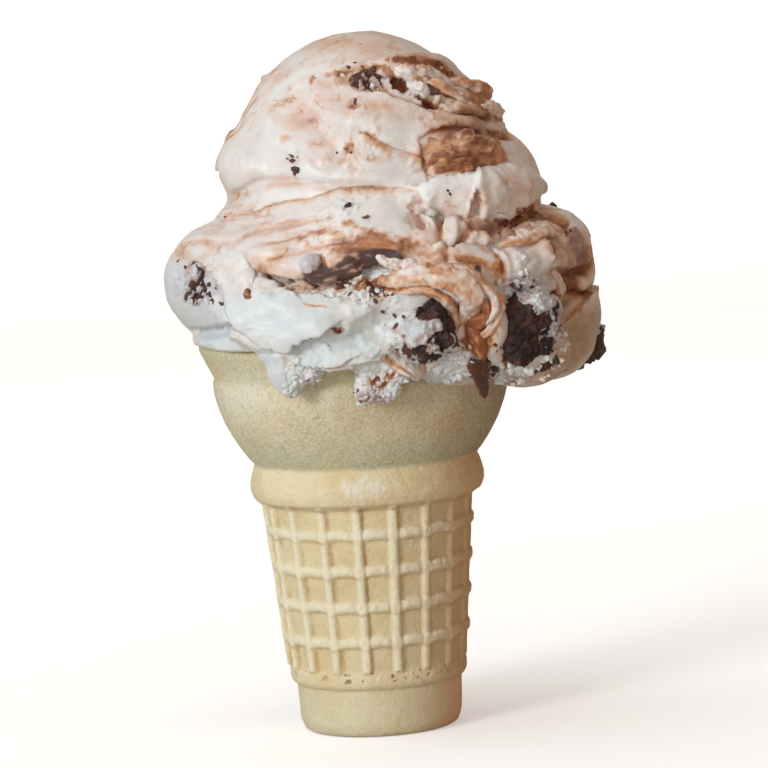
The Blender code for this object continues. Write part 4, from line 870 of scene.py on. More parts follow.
    "hangPurple": {"at": (4, 69.6), "radii": (4.0, 1.5), "tilt": 0, "dig": 0.0, "torn": 0.5, "paints": {"grey": 1.2, "ripple": 0.3}},
    "hangTan": {"at": (10, 73.4), "radii": (2.0, 2.4), "tilt": 0, "dig": 0.1, "fibre": 0.3, "lines": 0.3, "paints": {"ripple": 0.36}},
    "tornCentre": {"at": (9, 83.4), "radii": (7.4, 7.8), "tilt": 0, "dig": 0.3, "torn": 0.34, "fibre": 0.30, "lines": 0.06, "paints": {"bright": 1.2, "ripple": -0.5, "paintedCoolLight": 0.6}},
    "tornCentreLow": {"at": (22, 74.6), "radii": (6.6, 3.2), "tilt": 10, "dig": 0.0, "torn": 0.7, "paints": {"bright": 1.0, "paintedCoolLight": 0.9, "ripple": -0.2}},
    "centreBrownA": {"at": (15, 80.4), "radii": (3.2, 1.0), "tilt": -35, "dig": 0.5, "torn": 0.4, "paints": {"ripple": 0.6, "caramel": 0.5}},
    "centreBrownB": {"at": (19, 76.4), "radii": (3.6, 1.1), "tilt": -25, "dig": 0.4, "torn": 0.4, "paints": {"ripple": 0.5, "caramel": 0.6}},
    "centreTan": {"at": (8, 79.0), "radii": (3.4, 1.6), "tilt": -40, "dig": 0.2, "torn": 0.4, "paints": {"ripple": 0.40, "caramel": 0.2}},
    "betweenBrownies": {"at": (33, 81.0), "radii": (3.2, 6.0), "tilt": -8, "dig": 0.3, "torn": 0.2, "paints": {"ripple": 0.6, "caramel": 1.0, "fudge": 0.05}},
    "whiteFleck": {"at": (47, 93), "radii": (3.2, 3.2), "tilt": -20, "dig": -0.2, "torn": 0.6, "paints": {"bright": 1.0, "ripple": -0.6}},
    "tanFold": {"at": (31, 95.2), "radii": (9.0, 2.8), "tilt": -8, "dig": -0.5, "fibre": 0.12, "lines": 0.16, "paints": {"ripple": 0.06, "bright": 0.3, "yellow": 0.12}},
    "tanFoldLine": {"at": (34, 94.0), "radii": (5.0, 0.9), "tilt": -20, "dig": 0.2, "paints": {"ripple": 0.34, "caramel": 0.2}},
    "tanFoldLeft": {"at": (22, 96.6), "radii": (3.4, 1.2), "tilt": -6, "dig": 0.1, "paints": {"ripple": 0.30, "caramel": 0.1}},
    "tanFoldRight": {"at": (51, 96.8), "radii": (4.6, 2.6), "tilt": 12, "dig": -0.9, "torn": 0.15, "fibre": 0.12, "lines": 0.2, "paints": {"ripple": 0.30, "caramel": 0.16}},
    "bandUnderCurl": {"at": (39, 101.4), "radii": (10.0, 2.4), "tilt": -8, "dig": -0.9, "torn": 0.05, "paints": {"ripple": 0.02, "grey": 0.24, "bright": 0.2}},
    "bandUnderStain": {"at": (44, 99.6), "radii": (3.6, 0.8), "tilt": -14, "dig": 0.3, "torn": 0.3, "paints": {"ripple": 0.42, "grey": 0.3}},
    "fleckOrange": {"at": (40.2, 91.8), "radii": (1.7, 2.8), "tilt": 4, "dig": 0.2, "fibre": 0.1, "lines": 0.2, "paints": {"ripple": 0.40, "caramel": 0.42}},
    "darkSpot": {"at": (34, 93.2), "radii": (0.8, 1.1), "tilt": 0, "dig": 0.3, "paints": {"fudge": 0.65}},
    "mauveRight": {"at": (55, 101.4), "radii": (3.0, 2.2), "tilt": -20, "dig": 0.6, "torn": 0.5, "paints": {"ripple": 0.55, "fudge": 0.2, "grey": 0.3}},
    "moundShade": {"at": (22, 102.4), "radii": (1.6, 3.4), "tilt": -8, "dig": 0.5, "paints": {"ripple": 0.36, "grey": 0.4}},
    "moundRim": {"at": (27.4, 102.4), "radii": (1.2, 3.0), "tilt": -14, "dig": -0.7, "paints": {"bright": 0.9, "ripple": -0.3}},
    "brownNotch": {"at": (58, 101), "radii": (3.6, 3.2), "tilt": 0, "dig": 1.0, "torn": 0.7, "paints": {"ripple": 0.65, "caramel": 0.30}},
    "mound": {"at": (64, 96.6), "radii": (9.5, 5.0), "tilt": 0, "dig": -0.6, "torn": 0.1, "fibre": 0.2, "lines": 0.16, "paints": {"ripple": 0.34, "grey": 0.3}},
    "moundTopPeach": {"at": (60, 100.4), "radii": (3.4, 1.4), "tilt": 0, "dig": -0.5, "torn": 0.1, "paints": {"ripple": -0.1, "bright": 0.2}},
    "moundEdgeDark": {"at": (86, 94), "radii": (2.6, 5.0), "tilt": 0, "dig": 0.4, "torn": 0.5, "paints": {"ripple": 0.5, "fudge": 0.3}},
    "moundLow": {"at": (76, 91.5), "radii": (7.0, 3.4), "tilt": 0, "dig": 0.3, "torn": 0.4, "paints": {"ripple": 0.5, "caramel": 0.2}},
    "moundBrown": {"at": (69, 96.0), "radii": (4.0, 3.2), "tilt": 20, "dig": 0.5, "paints": {"ripple": 0.35, "grey": 0.2}},
    "orangeCorner": {"at": (69, 102.0), "radii": (4.4, 2.2), "tilt": -20, "dig": 0.4, "paints": {"caramel": 0.80}},
    "whiteCorner": {"at": (82, 100.8), "radii": (3.0, 1.8), "tilt": 0, "dig": -0.5, "paints": {"bright": 1.0, "ripple": -0.6, "caramel": -0.8}},
    "rearLobe": {"at": (74, 77), "radii": (16, 7.5), "tilt": 0, "dig": -0.3, "paints": {"ripple": 0.24, "yellow": 1.0}},
    "rearStain": {"at": (78, 83), "radii": (5.6, 3.0), "tilt": 30, "dig": 0.2, "torn": 0.3, "paints": {"caramel": 0.62, "ripple": 0.3, "yellow": -1.0}},
    "rearStainLow": {"at": (66, 82), "radii": (2.6, 3.6), "tilt": 20, "dig": 0.3, "torn": 0.5, "paints": {"ripple": 0.45}},
    "rearHoles": {"at": (66, 87.0), "radii": (5.0, 2.4), "tilt": 0, "dig": 1.0, "torn": 0.6, "paints": {"ripple": 0.6, "fudge": 0.2}},
    "brownieBed": {"at": (50, 88), "radii": (7.0, 3.4), "tilt": 0, "dig": 0.4, "torn": 1.1, "paints": {"bright": 0.6, "grey": 0.5}},
    "brownieFoot": {"at": (45, 72.2), "radii": (4.6, 2.4), "tilt": 0, "dig": 0.0, "torn": 1.1, "paints": {"bright": 0.7, "grey": 0.4, "paintedCoolLight": 0.7}},
    "brownieFootDark": {"at": (52, 73.0), "radii": (3.4, 1.0), "tilt": 24, "dig": 0.2, "torn": 0.7, "paints": {"fudge": 0.8, "ripple": 0.5}},
    "brownieFootSyrup": {"at": (43, 75.6), "radii": (1.8, 3.0), "tilt": 0, "dig": 0.2, "paints": {"caramel": 1.0, "fudge": 0.1}},
    "rearFront": {"at": (62, 71.4), "radii": (8.4, 5.0), "tilt": 10, "dig": 0.0, "paints": {"ripple": 0.26, "yellow": 0.85}},
    "lowFront": {"at": (27, 72.0), "radii": (9.0, 2.4), "tilt": 0, "dig": 0.1, "torn": 0.7, "paints": {"bright": 0.9, "paintedCoolLight": 0.7, "ripple": -0.1}},
    "lowRight": {"at": (45, 70.2), "radii": (6.4, 2.0), "tilt": 6, "dig": 0.1, "torn": 0.6, "paints": {"ripple": 0.36, "grey": 0.5, "fudge": 0.15}},
    "syrupLeft": {"at": (8, 91.6), "radii": (3.4, 1.7), "tilt": -20, "dig": 0.2, "torn": 0.2, "paints": {"caramel": 1.1, "fudge": 0.15}},
    "brownieSide": {"at": (59, 82), "radii": (2.6, 5.0), "tilt": -8, "dig": 0.2, "torn": 0.9, "paints": {"ripple": 0.34, "grey": 0.3}},
}


# The index of the skin point nearest to each (turn, height), the outermost first.
def nearestPlaces(skin, places):
    turns = np.arctan2(skin[:, 0], -skin[:, 1])
    radii = np.hypot(skin[:, 0], skin[:, 1])
    found = []
    for turn, height in places:
        gap = (turns - math.radians(turn) + math.pi) % (2 * math.pi) - math.pi
        found.append(np.argmin(np.hypot(gap * np.maximum(radii, 8), skin[:, 2] - height) - 0.15 * radii))
    return np.array(found)


# Where skin points lie beside a route: which points, how far up beside it, the share of the way along
# it, the way up there, and the route's length.
def besideRoute(skin, normals, places, reach):
    index = nearestPlaces(skin, places)
    route = smoothRoute(skin[index], 14)
    facing = unit(smoothRoute(normals[index], 14))
    ahead = unit(np.gradient(route, axis=0))
    upward = unit(np.cross(facing, ahead))
    near = np.all((skin > route.min(0) - reach) & (skin < route.max(0) + reach), axis=1).nonzero()[0]
    spots = skin[near]
    best = np.full(len(near), 1e9)
    which = np.zeros(len(near), int)
    for step, place in enumerate(route):
        away = np.sum((spots - place) ** 2, axis=1)
        closer = away < best
        best[closer] = away[closer]
        which[closer] = step
    close = best < (reach * 1.6) ** 2
    near, which, spots = near[close], which[close], spots[close]
    side = np.sum((spots - route[which]) * upward[which], axis=1)
    lengths = np.append(0, np.cumsum(np.linalg.norm(np.diff(route, axis=0), axis=1)))
    forward = np.sum((spots - route[which]) * ahead[which], axis=1)
    share = np.clip((lengths[which] + forward) / lengths[-1], 0, 1)
    return near, side, share, upward[which], lengths[-1]


# Pushes the skin along one route and paints beside it. A lip steps from -deep to high across its edge,
# and its upper side leans out over the lower one.
def applyRoute(skin, normals, feature, push, paint, seed):
    kind, wide = feature["kind"], feature["wide"]
    reach = wide * 1.6 + 3
    near, side, share, upward, length = besideRoute(skin, normals, feature["at"], reach)
    fade = ease(np.minimum(share, 1 - share) * length, 0, min(7.0, length * 0.35))
    spots = skin[near]
    side = side + feature.get("ragged", 0.12) * rough(spots, 1.8, 3, seed) + 0.25 * waves(spots, 5.0, seed + 9)
    uneven = 1 + 0.35 * waves(spots, 6.0, seed + 17)
    if kind == "lip":
        over = ease(side, -feature["edge"], feature["edge"])
        high = feature["high"] * ease(side, wide, 0)
        deep = feature["deep"] * ease(-side, wide * 0.6, 0)
        outward = over * high - (1 - over) * deep
        lean = -feature["lean"] * over * ease(side, 1.8, 0.2)
        push[near] += (outward * fade * uneven)[:, None] * normals[near] + (lean * fade)[:, None] * upward
    elif kind == "crease":
        push[near] -= (feature["deep"] * bell(side, wide) * fade * uneven)[:, None] * normals[near]
    else:
        push[near] += (feature["high"] * bell(side, wide) * fade * uneven)[:, None] * normals[near]
    streaks = 1 + 0.5 * rough(np.column_stack([share * length / 5, side / 0.8, np.full(len(side), seed)]), 1.0, 2, seed)
    taper = 0.4 + 0.6 * fade
    for name, (strength, middle, half) in feature["paints"].items():
        spread = bell(side - middle * taper, half * taper)
        paint[name][near] += strength * spread * fade * np.clip(streaks, 0.3, 1.7)


def applyPatch(skin, normals, feature, push, paint, seed):
    index = nearestPlaces(skin, [feature["at"]])[0]
    middle, facing = skin[index], normals[index]
    right = unit(np.cross((0, 0, 1.0), facing))
    up = np.cross(facing, right)
    tilt = math.radians(feature["tilt"])
    first = math.cos(tilt) * right + math.sin(tilt) * up
    second = np.cross(facing, first)
    wide, tall = feature["radii"]
    reach = max(wide, tall) * 1.7
    near = (np.sum((skin - middle) ** 2, axis=1) < reach ** 2).nonzero()[0]
    offset = skin[near] - middle
    along, across = offset @ first, offset @ second
    size = min(wide, tall)
    ring = np.hypot(along / wide, across / tall)
    ring = ring + 0.28 * rough(skin[near], max(size * 0.8, 1.0), 3, seed)
    if size < 2.4:
        ring = ring + 0.45 * rough(skin[near], 1.1, 2, seed + 3)
    mask = ease(ring, 1.25, 0.60) * ease(np.abs(offset @ facing), 14, 9)
    outward = -feature["dig"] * mask
    if "fibre" in feature:
        grooves = rough(np.column_stack([along / 6, across / 0.9, np.full(len(along), seed)]), 1.0, 3, seed + 5)
        outward = outward + feature["fibre"] * grooves * mask
        paint["ripple"][near] += feature.get("lines", 0.6 * feature["fibre"]) * grooves * mask
    push[near] += outward[:, None] * normals[near]
    paint["torn"][near] = np.maximum(paint["torn"][near], feature.get("torn", 0) * mask)
    mottled = mask * np.clip(1 + 0.40 * rough(skin[near], 1.5, 3, seed + 7), 0.3, 1.7)
    for name, strength in feature["paints"].items():
        paint[name][near] += strength * mottled


# Folds, creases and stains for the sides and the back, drawn at random: places wander level from left
# to right, and each kind takes its sizes from a range.
def backRoutes(random):
    made = {}
    rowHeights = (80, 84, 88.5, 93, 97.5, 101.5, 105.5, 110, 115, 120, 125.5, 130)
    for row, height in enumerate(rowHeights):
        turn = 96 + random.uniform(0, 14)
        while turn < 252:
            length = random.uniform(26, 56)
            heights = height + np.cumsum(random.uniform(-1.5, 1.5, 5))
            places = [(turn + length * step / 4, heights[step]) for step in range(5)]
            kind = random.choice(["lip", "lip", "crease", "ridge"])
            if random.random() < 0.4:
                places = places[::-1]
            paints = {
                "ripple": (random.uniform(0.15, 0.7), random.uniform(-1.2, 0.6), random.uniform(0.5, 1.8)),
                "caramel": (random.uniform(-0.2, 0.6), random.uniform(-0.8, 0.4), random.uniform(0.3, 0.7)),
                "fudge": (max(0, random.uniform(-0.6, 0.7)), random.uniform(-0.8, 0.2), random.uniform(0.3, 0.7)),
            }
            made[f"back{row}At{int(turn)}"] = {
                "kind": kind, "at": places, "high": random.uniform(0.4, 1.1), "deep": random.uniform(0.5, 1.2),
                "wide": random.uniform(1.0, 4.0) if kind == "lip" else random.uniform(0.7, 1.6),
                "edge": 0.35, "lean": random.uniform(0.2, 0.8), "ragged": random.uniform(0.1, 0.7), "paints": paints}
            turn += length * random.uniform(0.7, 1.1)
    return made


def backPatches(random):
    made = {}
    for index in range(34):
        height = random.uniform(78, 132)
        paints = {"ripple": random.uniform(-0.2, 0.5), "bright": random.uniform(0, 0.9)}
        if random.random() < 0.35:
            paints["caramel"] = random.uniform(0.2, 0.7)
        if random.random() < 0.2:
            paints["fudge"] = random.uniform(0.2, 0.7)
        made[f"backPatch{index}"] = {
            "at": (random.uniform(100, 262), height), "radii": tuple(random.uniform(2.0, 7.0, 2)),
            "tilt": random.uniform(-30, 30), "dig": random.uniform(-0.4, 0.7),
            "torn": max(0, random.uniform(-0.5, 1.0)), "fibre": random.uniform(0, 0.25), "paints": paints}
    return made


def makeScoops(material):
    forms = {"scoopLower": lowerScoop, "scoopUpper": upperScoop, **drips}
    grids = [starGrid(form) for form in forms.values()]
    skin = np.vstack([grid.reshape(-1, 3) for grid in grids])
    normals = np.vstack([gridNormals(grid).reshape(-1, 3) for grid in grids])
    names = ("ripple", "caramel", "fudge", "bright", "torn", "grey", "paintedCoolLight", "yellow")
    paint = {name: np.zeros(len(skin)) for name in names}
    push = np.zeros(skin.shape)

    # Marbling: soft streaks that wind round the scoops, bent by slower waves.
    bent = skin + 5.0 * np.column_stack([waves(skin, 22, 61), waves(skin, 22, 62), waves(skin, 18, 63)])
    streaks = rough(bent * (0.35, 0.35, 1.0), 5.5, 4, 64)
    strength = 0.13 + 0.13 * ease(skin[:, 1], -10, 12)
    paint["ripple"] += 0.19 + strength * streaks + 0.05 * waves(skin, 12, 65)
    random = np.random.default_rng(27)
    everyRoute = {**routes, **backRoutes(random)}
    everyPatch = {**patches, **backPatches(random)}
    for seed, feature in enumerate(everyPatch.values()):
        applyPatch(skin, normals, feature, push, paint, 200 + seed)
    for seed, feature in enumerate(everyRoute.values()):
        applyRoute(skin, normals, feature, push, paint, 400 + seed * 3)

    # The skin itself: slow swells, fine unevenness, and crumbs where it is torn.
    swell = 0.40 * waves(skin, 15, 71) + 0.20 * waves(skin, 6, 72) + 0.07 * rough(skin, 2.4, 2, 73)
    swell = swell + 0.10 * streaks
    crumbs = 1.1 * np.abs(rough(skin, 2.4, 2, 81)) + 0.8 * np.abs(rough(skin, 1.0, 2, 82)) - 0.45
    swell = swell + 1.05 * paint["torn"] * crumbs
    push += swell[:, None] * normals
    points = skin + push
    start = 0
    nodes = {"scoopLower": ["scoop_lower"], "scoopUpper": ["scoop_upper"]}
    for (name, form), grid in zip(forms.items(), grids):
        rows, columns = grid.shape[:2]
        part = slice(start, start + rows * columns)
        start += rows * columns
        own = points[part]
        ends = np.array([form["heart"] if name in nodes else own[:columns].mean(0), own[-columns:].mean(0)], float)
        ends[0, 2] = own[:columns, 2].mean()
        attributes = {key: np.append(np.clip(values[part], 0, 1.2), (0, 0)) for key, values in paint.items()}
        makePiece(name, np.vstack([own, ends]), gridFaces(rows, columns), material, nodes.get(name),
                  attributes)
    return points, normals, paint


# Ice cream: a ramp from white through pink beige and tan to brown by how much ripple is in it, then
# caramel and fudge over it, their edges broken up by the grain. Torn places are drier and rougher.
def makeCream():
    material, tree, shader = newMaterial("cream", {
        "Subsurface Weight": 0.22, "Subsurface Scale": 0.0012, "Subsurface Radius": (1.0, 0.7, 0.5)})
    grain = useGrain(tree, 2.2, 1.0, 0.18)
    fine = useGrain(tree, 0.7, 1.0, 0.10)
    shake = calculate(tree, "SUBTRACT", grain["Value"], 0.5)
    torn = attribute(tree, "torn")
    ripple = calculate(tree, "MULTIPLY_ADD", shake, 0.30, attribute(tree, "ripple"))
    # Marbling with firmer edges: a bent noise, cut near its middle.
    place = addNode(tree, "ShaderNodeTexCoord").outputs["Object"]
    bent = addNode(tree, "ShaderNodeTexNoise", {"Vector": place, "Scale": 130.0, "Detail": 5.0, "Distortion": 0.9})
    marble = calculate(tree, "SUBTRACT", rise(tree, bent.outputs[0], 0.46, 0.60), 0.4)
    ripple = calculate(tree, "MULTIPLY_ADD", marble, 0.13, ripple)
    # Thin veins lie where a slower bent noise passes its middle value, in some places only.
    vein = addNode(tree, "ShaderNodeTexNoise", {"Vector": place, "Scale": 62.0, "Detail": 4.0, "Distortion": 1.4})
    fromMiddle = calculate(tree, "ABSOLUTE", calculate(tree, "SUBTRACT", vein.outputs[0], 0.5))
    veins = calculate(tree, "SUBTRACT", 1.0, rise(tree, fromMiddle, 0.003, 0.018))
    veins = calculate(tree, "MULTIPLY", veins, rise(tree, grain["Value"], 0.40, 0.62))
    ripple = calculate(tree, "MULTIPLY_ADD", veins, 0.24, ripple)
    ripple = calculate(tree, "SUBTRACT", ripple, calculate(tree, "MULTIPLY", attribute(tree, "bright"), 0.14))
    ramp = addNode(tree, "ShaderNodeValToRGB", {"Fac": ripple})
    stops = ((0.0, (0.80, 0.785, 0.76)), (0.20, (0.77, 0.695, 0.645)), (0.42, (0.72, 0.51, 0.39)),
             (0.68, (0.50, 0.26, 0.15)), (0.95, (0.26, 0.088, 0.045)))
    while len(ramp.color_ramp.elements) < len(stops):
        ramp.color_ramp.elements.new(0.5)
    for element, (place, colour) in zip(ramp.color_ramp.elements, stops):
        element.position = place
        element.color = (*colour, 1)
    colour = ramp.outputs["Color"]
    # Painted cool light: a blue-white tint on the lower front and left. Grey is a mauve grey: the cream's own in the
    # swirl node and the hanging chunk, and painted shade on the slab, the tongue, the left lobe and the shaded folds.
    for name, share, tint in (("paintedCoolLight", 0.70, (0.69, 0.77, 0.79)), ("grey", 0.60, (0.50, 0.47, 0.52)),
                              ("yellow", 0.8, (0.43, 0.32, 0.21))):
        colour = mixColour(tree, calculate(tree, "MULTIPLY", attribute(tree, name), share, clamp=True),
                           colour, tint)
    edge = calculate(tree, "MULTIPLY", shake, 0.9)
    syrup = calculate(tree, "ADD", attribute(tree, "caramel"), edge)
    colour = mixColour(tree, calculate(tree, "MULTIPLY", rise(tree, syrup, 0.12, 0.70), 0.85), colour,
                       (0.62, 0.29, 0.11))
    colour = mixColour(tree, calculate(tree, "MULTIPLY", rise(tree, syrup, 0.50, 0.95), 0.88), colour,
                       (0.25, 0.062, 0.02))
    dark = rise(tree, calculate(tree, "ADD", attribute(tree, "fudge"), edge), 0.18, 0.72)
    colour = mixColour(tree, calculate(tree, "MULTIPLY", dark, 0.93), colour, (0.062, 0.028, 0.024))
    specks = calculate(tree, "MULTIPLY", fine["Specks"], rise(tree, grain["Value"], 0.52, 0.62))
    colour = mixColour(tree, calculate(tree, "MULTIPLY", specks, 0.6), colour, (0.26, 0.14, 0.10))
    tree.links.new(colour, shader.inputs["Base Color"])
    gloss = calculate(tree, "MULTIPLY_ADD", fine["Value"], 0.36, 0.22)
    gloss = calculate(tree, "MULTIPLY_ADD", dark, 0.20, gloss)
    tree.links.new(calculate(tree, "MULTIPLY_ADD", torn, 0.30, gloss), shader.inputs["Roughness"])
    amount = calculate(tree, "MULTIPLY_ADD", torn, 0.9, 0.06)
    bump = useBump(tree, shader, calculate(tree, "MULTIPLY", fine["Height"], amount), 0.00030, 0.8)
    useBump(tree, shader, calculate(tree, "MULTIPLY", grain["Height"], amount), 0.0009, 0.8, bump)
    return material


cream = makeCream()
creamPoints, creamNormals, creamPaint = makeScoops(cream)
# Brownie chunks: their solids' half sizes (mm) and turns (degrees); their places come from the solids.
# Smear is how much cream covers each, and side the way it lies on. Covers are more of it, as (x, z,
# radius, strength) from the middle, light how brown the crumb is, and pink how stained the cream is.
brownies = {
    "FrontRight": {
        "node": "brownie_front_right", "half": (7.2, 5.6, 8.0), "turn": (10, 0, 12), "shift": (-0.6, 0, 1.2),
        "smear": 0.30, "side": (0.75, 0, 0.7), "covers": ((2.8, 4.6, 2.0, 1.6), (0.4, 5.6, 1.6, 1.3), (3.6, 7.0, 3.4, 1.6), (7.0, 2.0, 2.2, 1.2), (-5.6, 5.0, 2.2, 1.2))},
    "FrontMiddle": {
        "node": "brownie_front_middle", "half": (5.6, 4.6, 6.6), "turn": (-8, -14, -24), "shift": (-1.2, 0, 1.8),
        "smear": 0.40, "side": (-0.9, 0, -0.3), "covers": ((-3.4, -0.4, 2.6, 1.7), (-1.6, 0.2, 2.0, 1.7),
        (0.8, 1.0, 1.6, 1.5), (3.2, -2.2, 1.3, 1.2), (5.0, -4.6, 2.0, 1.3))},
    "Left": {
        "node": "brownie_left", "half": (6.2, 4.5, 3.6), "turn": (0, 38, 26), "shift": (0.9, -0.2, -0.4),
        "smear": 0.52, "side": (-0.3, 0, 0.3), "blot": 1.5, "light": 0.3, "pink": 0.6, "covers": ()},
    "Top": {
        "node": "brownie_top", "half": (3.8, 3.2, 3.0), "turn": (40, 10, 20), "shift": (0, 0, 0),
        "smear": 0.50, "side": (0.2, 0, -0.5), "blot": 1.5, "light": 1.0, "pink": 1.0, "covers": ()},
    "RearRight": {
        "node": "brownie_rear_right", "half": (5.2, 6.2, 5.0), "turn": (0, 12, 25), "shift": (0, 0, 0),
        "smear": 0.25, "side": (0, 0, 1), "light": 0.4, "covers": ()},
    "Back": {
        "node": "brownie_back", "half": (6.8, 4.8, 5.6), "turn": (0, 18, 8), "shift": (0, 0, 0),
        "smear": 0.45, "side": (0.5, 0, 0.5), "covers": ()},
    "BackLeft": {
        "node": "brownie_back_left", "half": (5.2, 4.6, 6.6), "turn": (12, 0, -40), "shift": (0, 0, 0),
        "smear": 0.4, "side": (0, 0, 0.8), "covers": ()},
    "BackTop": {
        "node": "brownie_back_top", "half": (4.6, 3.8, 4.4), "turn": (-20, 12, 10), "shift": (0, 0, 0),
        "smear": 0.35, "side": (-0.5, 0, 0.3), "covers": ()},
}
brownieShape = {"columns": 128, "rows": 72, "square": 2.8, "crumb": 0.95, "uneven": 1.9, "tuck": 0.86}


# A ball of directions pressed square, |x|^p + |y|^p + |z|^p = 1 times the half sizes, and turned.
def squareBall(half, turn, rows, columns):
    lifts = np.radians(np.linspace(-87, 87, rows))
    turnGrid, liftGrid = np.meshgrid(np.linspace(-math.pi, math.pi, columns, endpoint=False), lifts)
    ways = np.vstack([directions(turnGrid.ravel(), liftGrid.ravel()), (0, 0, -1), (0, 0, 1)])
    power = brownieShape["square"]
    reach = np.sum(np.abs(ways) ** power, axis=1) ** (-1 / power)
    turned = np.array(Euler([math.radians(angle) for angle in turn]).to_matrix())
    return ways * reach[:, None] * half @ turned.T, unit(ways / half) @ turned.T


# Broken up by crumbs: lumps with sharp valleys between them, at three sizes.
def makeBrownie(name, chunk, material, seed):
    low, high = (np.array(corner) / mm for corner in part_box(chunk["node"]))
    rows, columns = brownieShape["rows"], brownieShape["columns"]
    body, outward = squareBall(np.array(chunk["half"]) * brownieShape["tuck"], chunk["turn"], rows, columns)
    crumb = (0.9 * np.abs(waves(body, 3.4, seed)) + 0.7 * np.abs(waves(body, 1.7, seed + 1))
             + 0.5 * np.abs(waves(body, 0.9, seed + 2)) - 0.6)
    uneven = brownieShape["uneven"] * (waves(body, 7.0, seed + 3) + 0.5 * waves(body, 3.6, seed + 6))
    body = body + outward * (brownieShape["crumb"] * 1.5 * crumb + uneven)[:, None]
    side = unit(np.array(chunk["side"], float))
    blots = rough(body * (1, 1, 0.6), chunk.get("blot", 3.4), 4, seed + 4)
    smear = outward @ side * 0.8 + 1.5 * blots + 2.4 * (chunk["smear"] - 0.5)
    for across, up, radius, strength in chunk["covers"]:
        away = np.hypot(body[:, 0] - across, body[:, 2] - up) + 1.0 * rough(body, 2.2, 3, seed + 8)
        smear = smear + strength * ease(away, radius * 1.3, radius * 0.5)
    smear = ease(smear, 0.05, 0.45)
    body = body + outward * (0.5 * smear * (1 + 0.8 * rough(body, 1.2, 2, seed + 5)))[:, None]
    points = body + (low + high) / 2 + chunk["shift"]
    attributes = {"smear": smear, "crumb": crumb + chunk.get("light", 0), "pink": chunk.get("pink", 0.25) + 0 * crumb}
    return makePiece("brownie" + name, points, gridFaces(rows, columns), material, [chunk["node"]],
                     attributes)


# Brownie: almost black crumb, lighter on its lumps, with cream smeared over part of it.
def makeBrownieMaterial():
    material, tree, shader = newMaterial("brownie", {"Roughness": 0.6})
    grain = useGrain(tree, 0.9, 1.0, 0.3)
    cloud = useGrain(tree, 3.5, 1.0, 0.0)
    colour = mixColour(tree, rise(tree, attribute(tree, "crumb"), -0.3, 0.9), (0.019, 0.009, 0.010),
                       (0.15, 0.058, 0.040))
    colour = mixColour(tree, rise(tree, cloud["Value"], 0.46, 0.70), colour, (0.105, 0.036, 0.030))
    colour = mixColour(tree, calculate(tree, "MULTIPLY", grain["Specks"], 0.5), colour, (0.30, 0.17, 0.12))
    shake = calculate(tree, "SUBTRACT", grain["Value"], 0.5)
    smear = rise(tree, calculate(tree, "MULTIPLY_ADD", shake, 1.9, attribute(tree, "smear")), 0.25, 0.80)
    stain = calculate(tree, "ADD", cloud["Value"], calculate(tree, "MULTIPLY", attribute(tree, "pink"), 0.22))
    cream = mixColour(tree, rise(tree, stain, 0.45, 0.75), (0.74, 0.78, 0.81), (0.60, 0.44, 0.38))
    colour = mixColour(tree, smear, colour, cream)
    tree.links.new(colour, shader.inputs["Base Color"])
    tree.links.new(calculate(tree, "MULTIPLY_ADD", grain["Value"], 0.55, 0.18), shader.inputs["Roughness"])
    bump = useBump(tree, shader, grain["Height"], 0.0008, 1.0)
    useBump(tree, shader, cloud["Height"], 0.0006, 0.5, bump)
    return material


brownieMaterial = makeBrownieMaterial()
for number, (chunkName, chunk) in enumerate(brownies.items()):
    makeBrownie(chunkName, chunk, brownieMaterial, 900 + number * 11)


# Fudge piece at the upper right: the same pressed ball in reddish brown, combed by level fibres that
# bend round it, with orange cream over its lower side.
fudge = {"node": "brownie_upper_right", "half": (9.0, 5.0, 6.2), "turn": (0, 8, 34), "fibre": 0.9}


def makeFudge(material):
    low, high = (np.array(corner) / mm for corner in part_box(fudge["node"]))
    rows, columns = 110, 170
    half = np.array(fudge["half"])
    body, outward = squareBall(half * 0.95, fudge["turn"], rows, columns)
    bent = body + 1.6 * np.column_stack([waves(body, 5, 31), waves(body, 5, 32), waves(body, 6, 33)])
    fibres = rough(bent * (0.22, 0.22, 1.0), 0.9, 3, 34)
    lumps = 1.7 * waves(body, 5.0, 35) + 0.8 * rough(body, 2.0, 2, 36)
    across, up = body[:, 0] / half[0], body[:, 2] / half[2]
    cloud = rough(body, 3.0, 3, 37)
    gold = ease(across - 0.8 * up + 0.8 * cloud, 0.35, 1.0)
    wisps = ease(np.abs(up + 0.45 + 0.25 * across + 0.35 * cloud), 0.26, 0.08) * ease(across, -0.8, -0.5)
    body = body + outward * (fudge["fibre"] * fibres * (1 - gold) + 0.6 * lumps + 0.7 * wisps)[:, None]
    mauve = ease(up + 0.5 * cloud, 0.2, 0.8)
    attributes = {"ripple": 0.82 + 0.45 * fibres + 0.30 * cloud - 0.42 * gold - 0.75 * wisps - 0.10 * mauve,
                  "caramel": 0.28 + 0.34 * gold - 0.2 * fibres, "fudge": -0.06 - 0.45 * fibres - 0.2 * gold,
                  "grey": 0.1 * mauve, "torn": 0.35 + 0.2 * gold}
    return makePiece("fudgeUpperRight", body + (low + high) / 2 - (0.5, 0, 0), gridFaces(rows, columns), material,
                     [fudge["node"]], attributes)


makeFudge(cream)

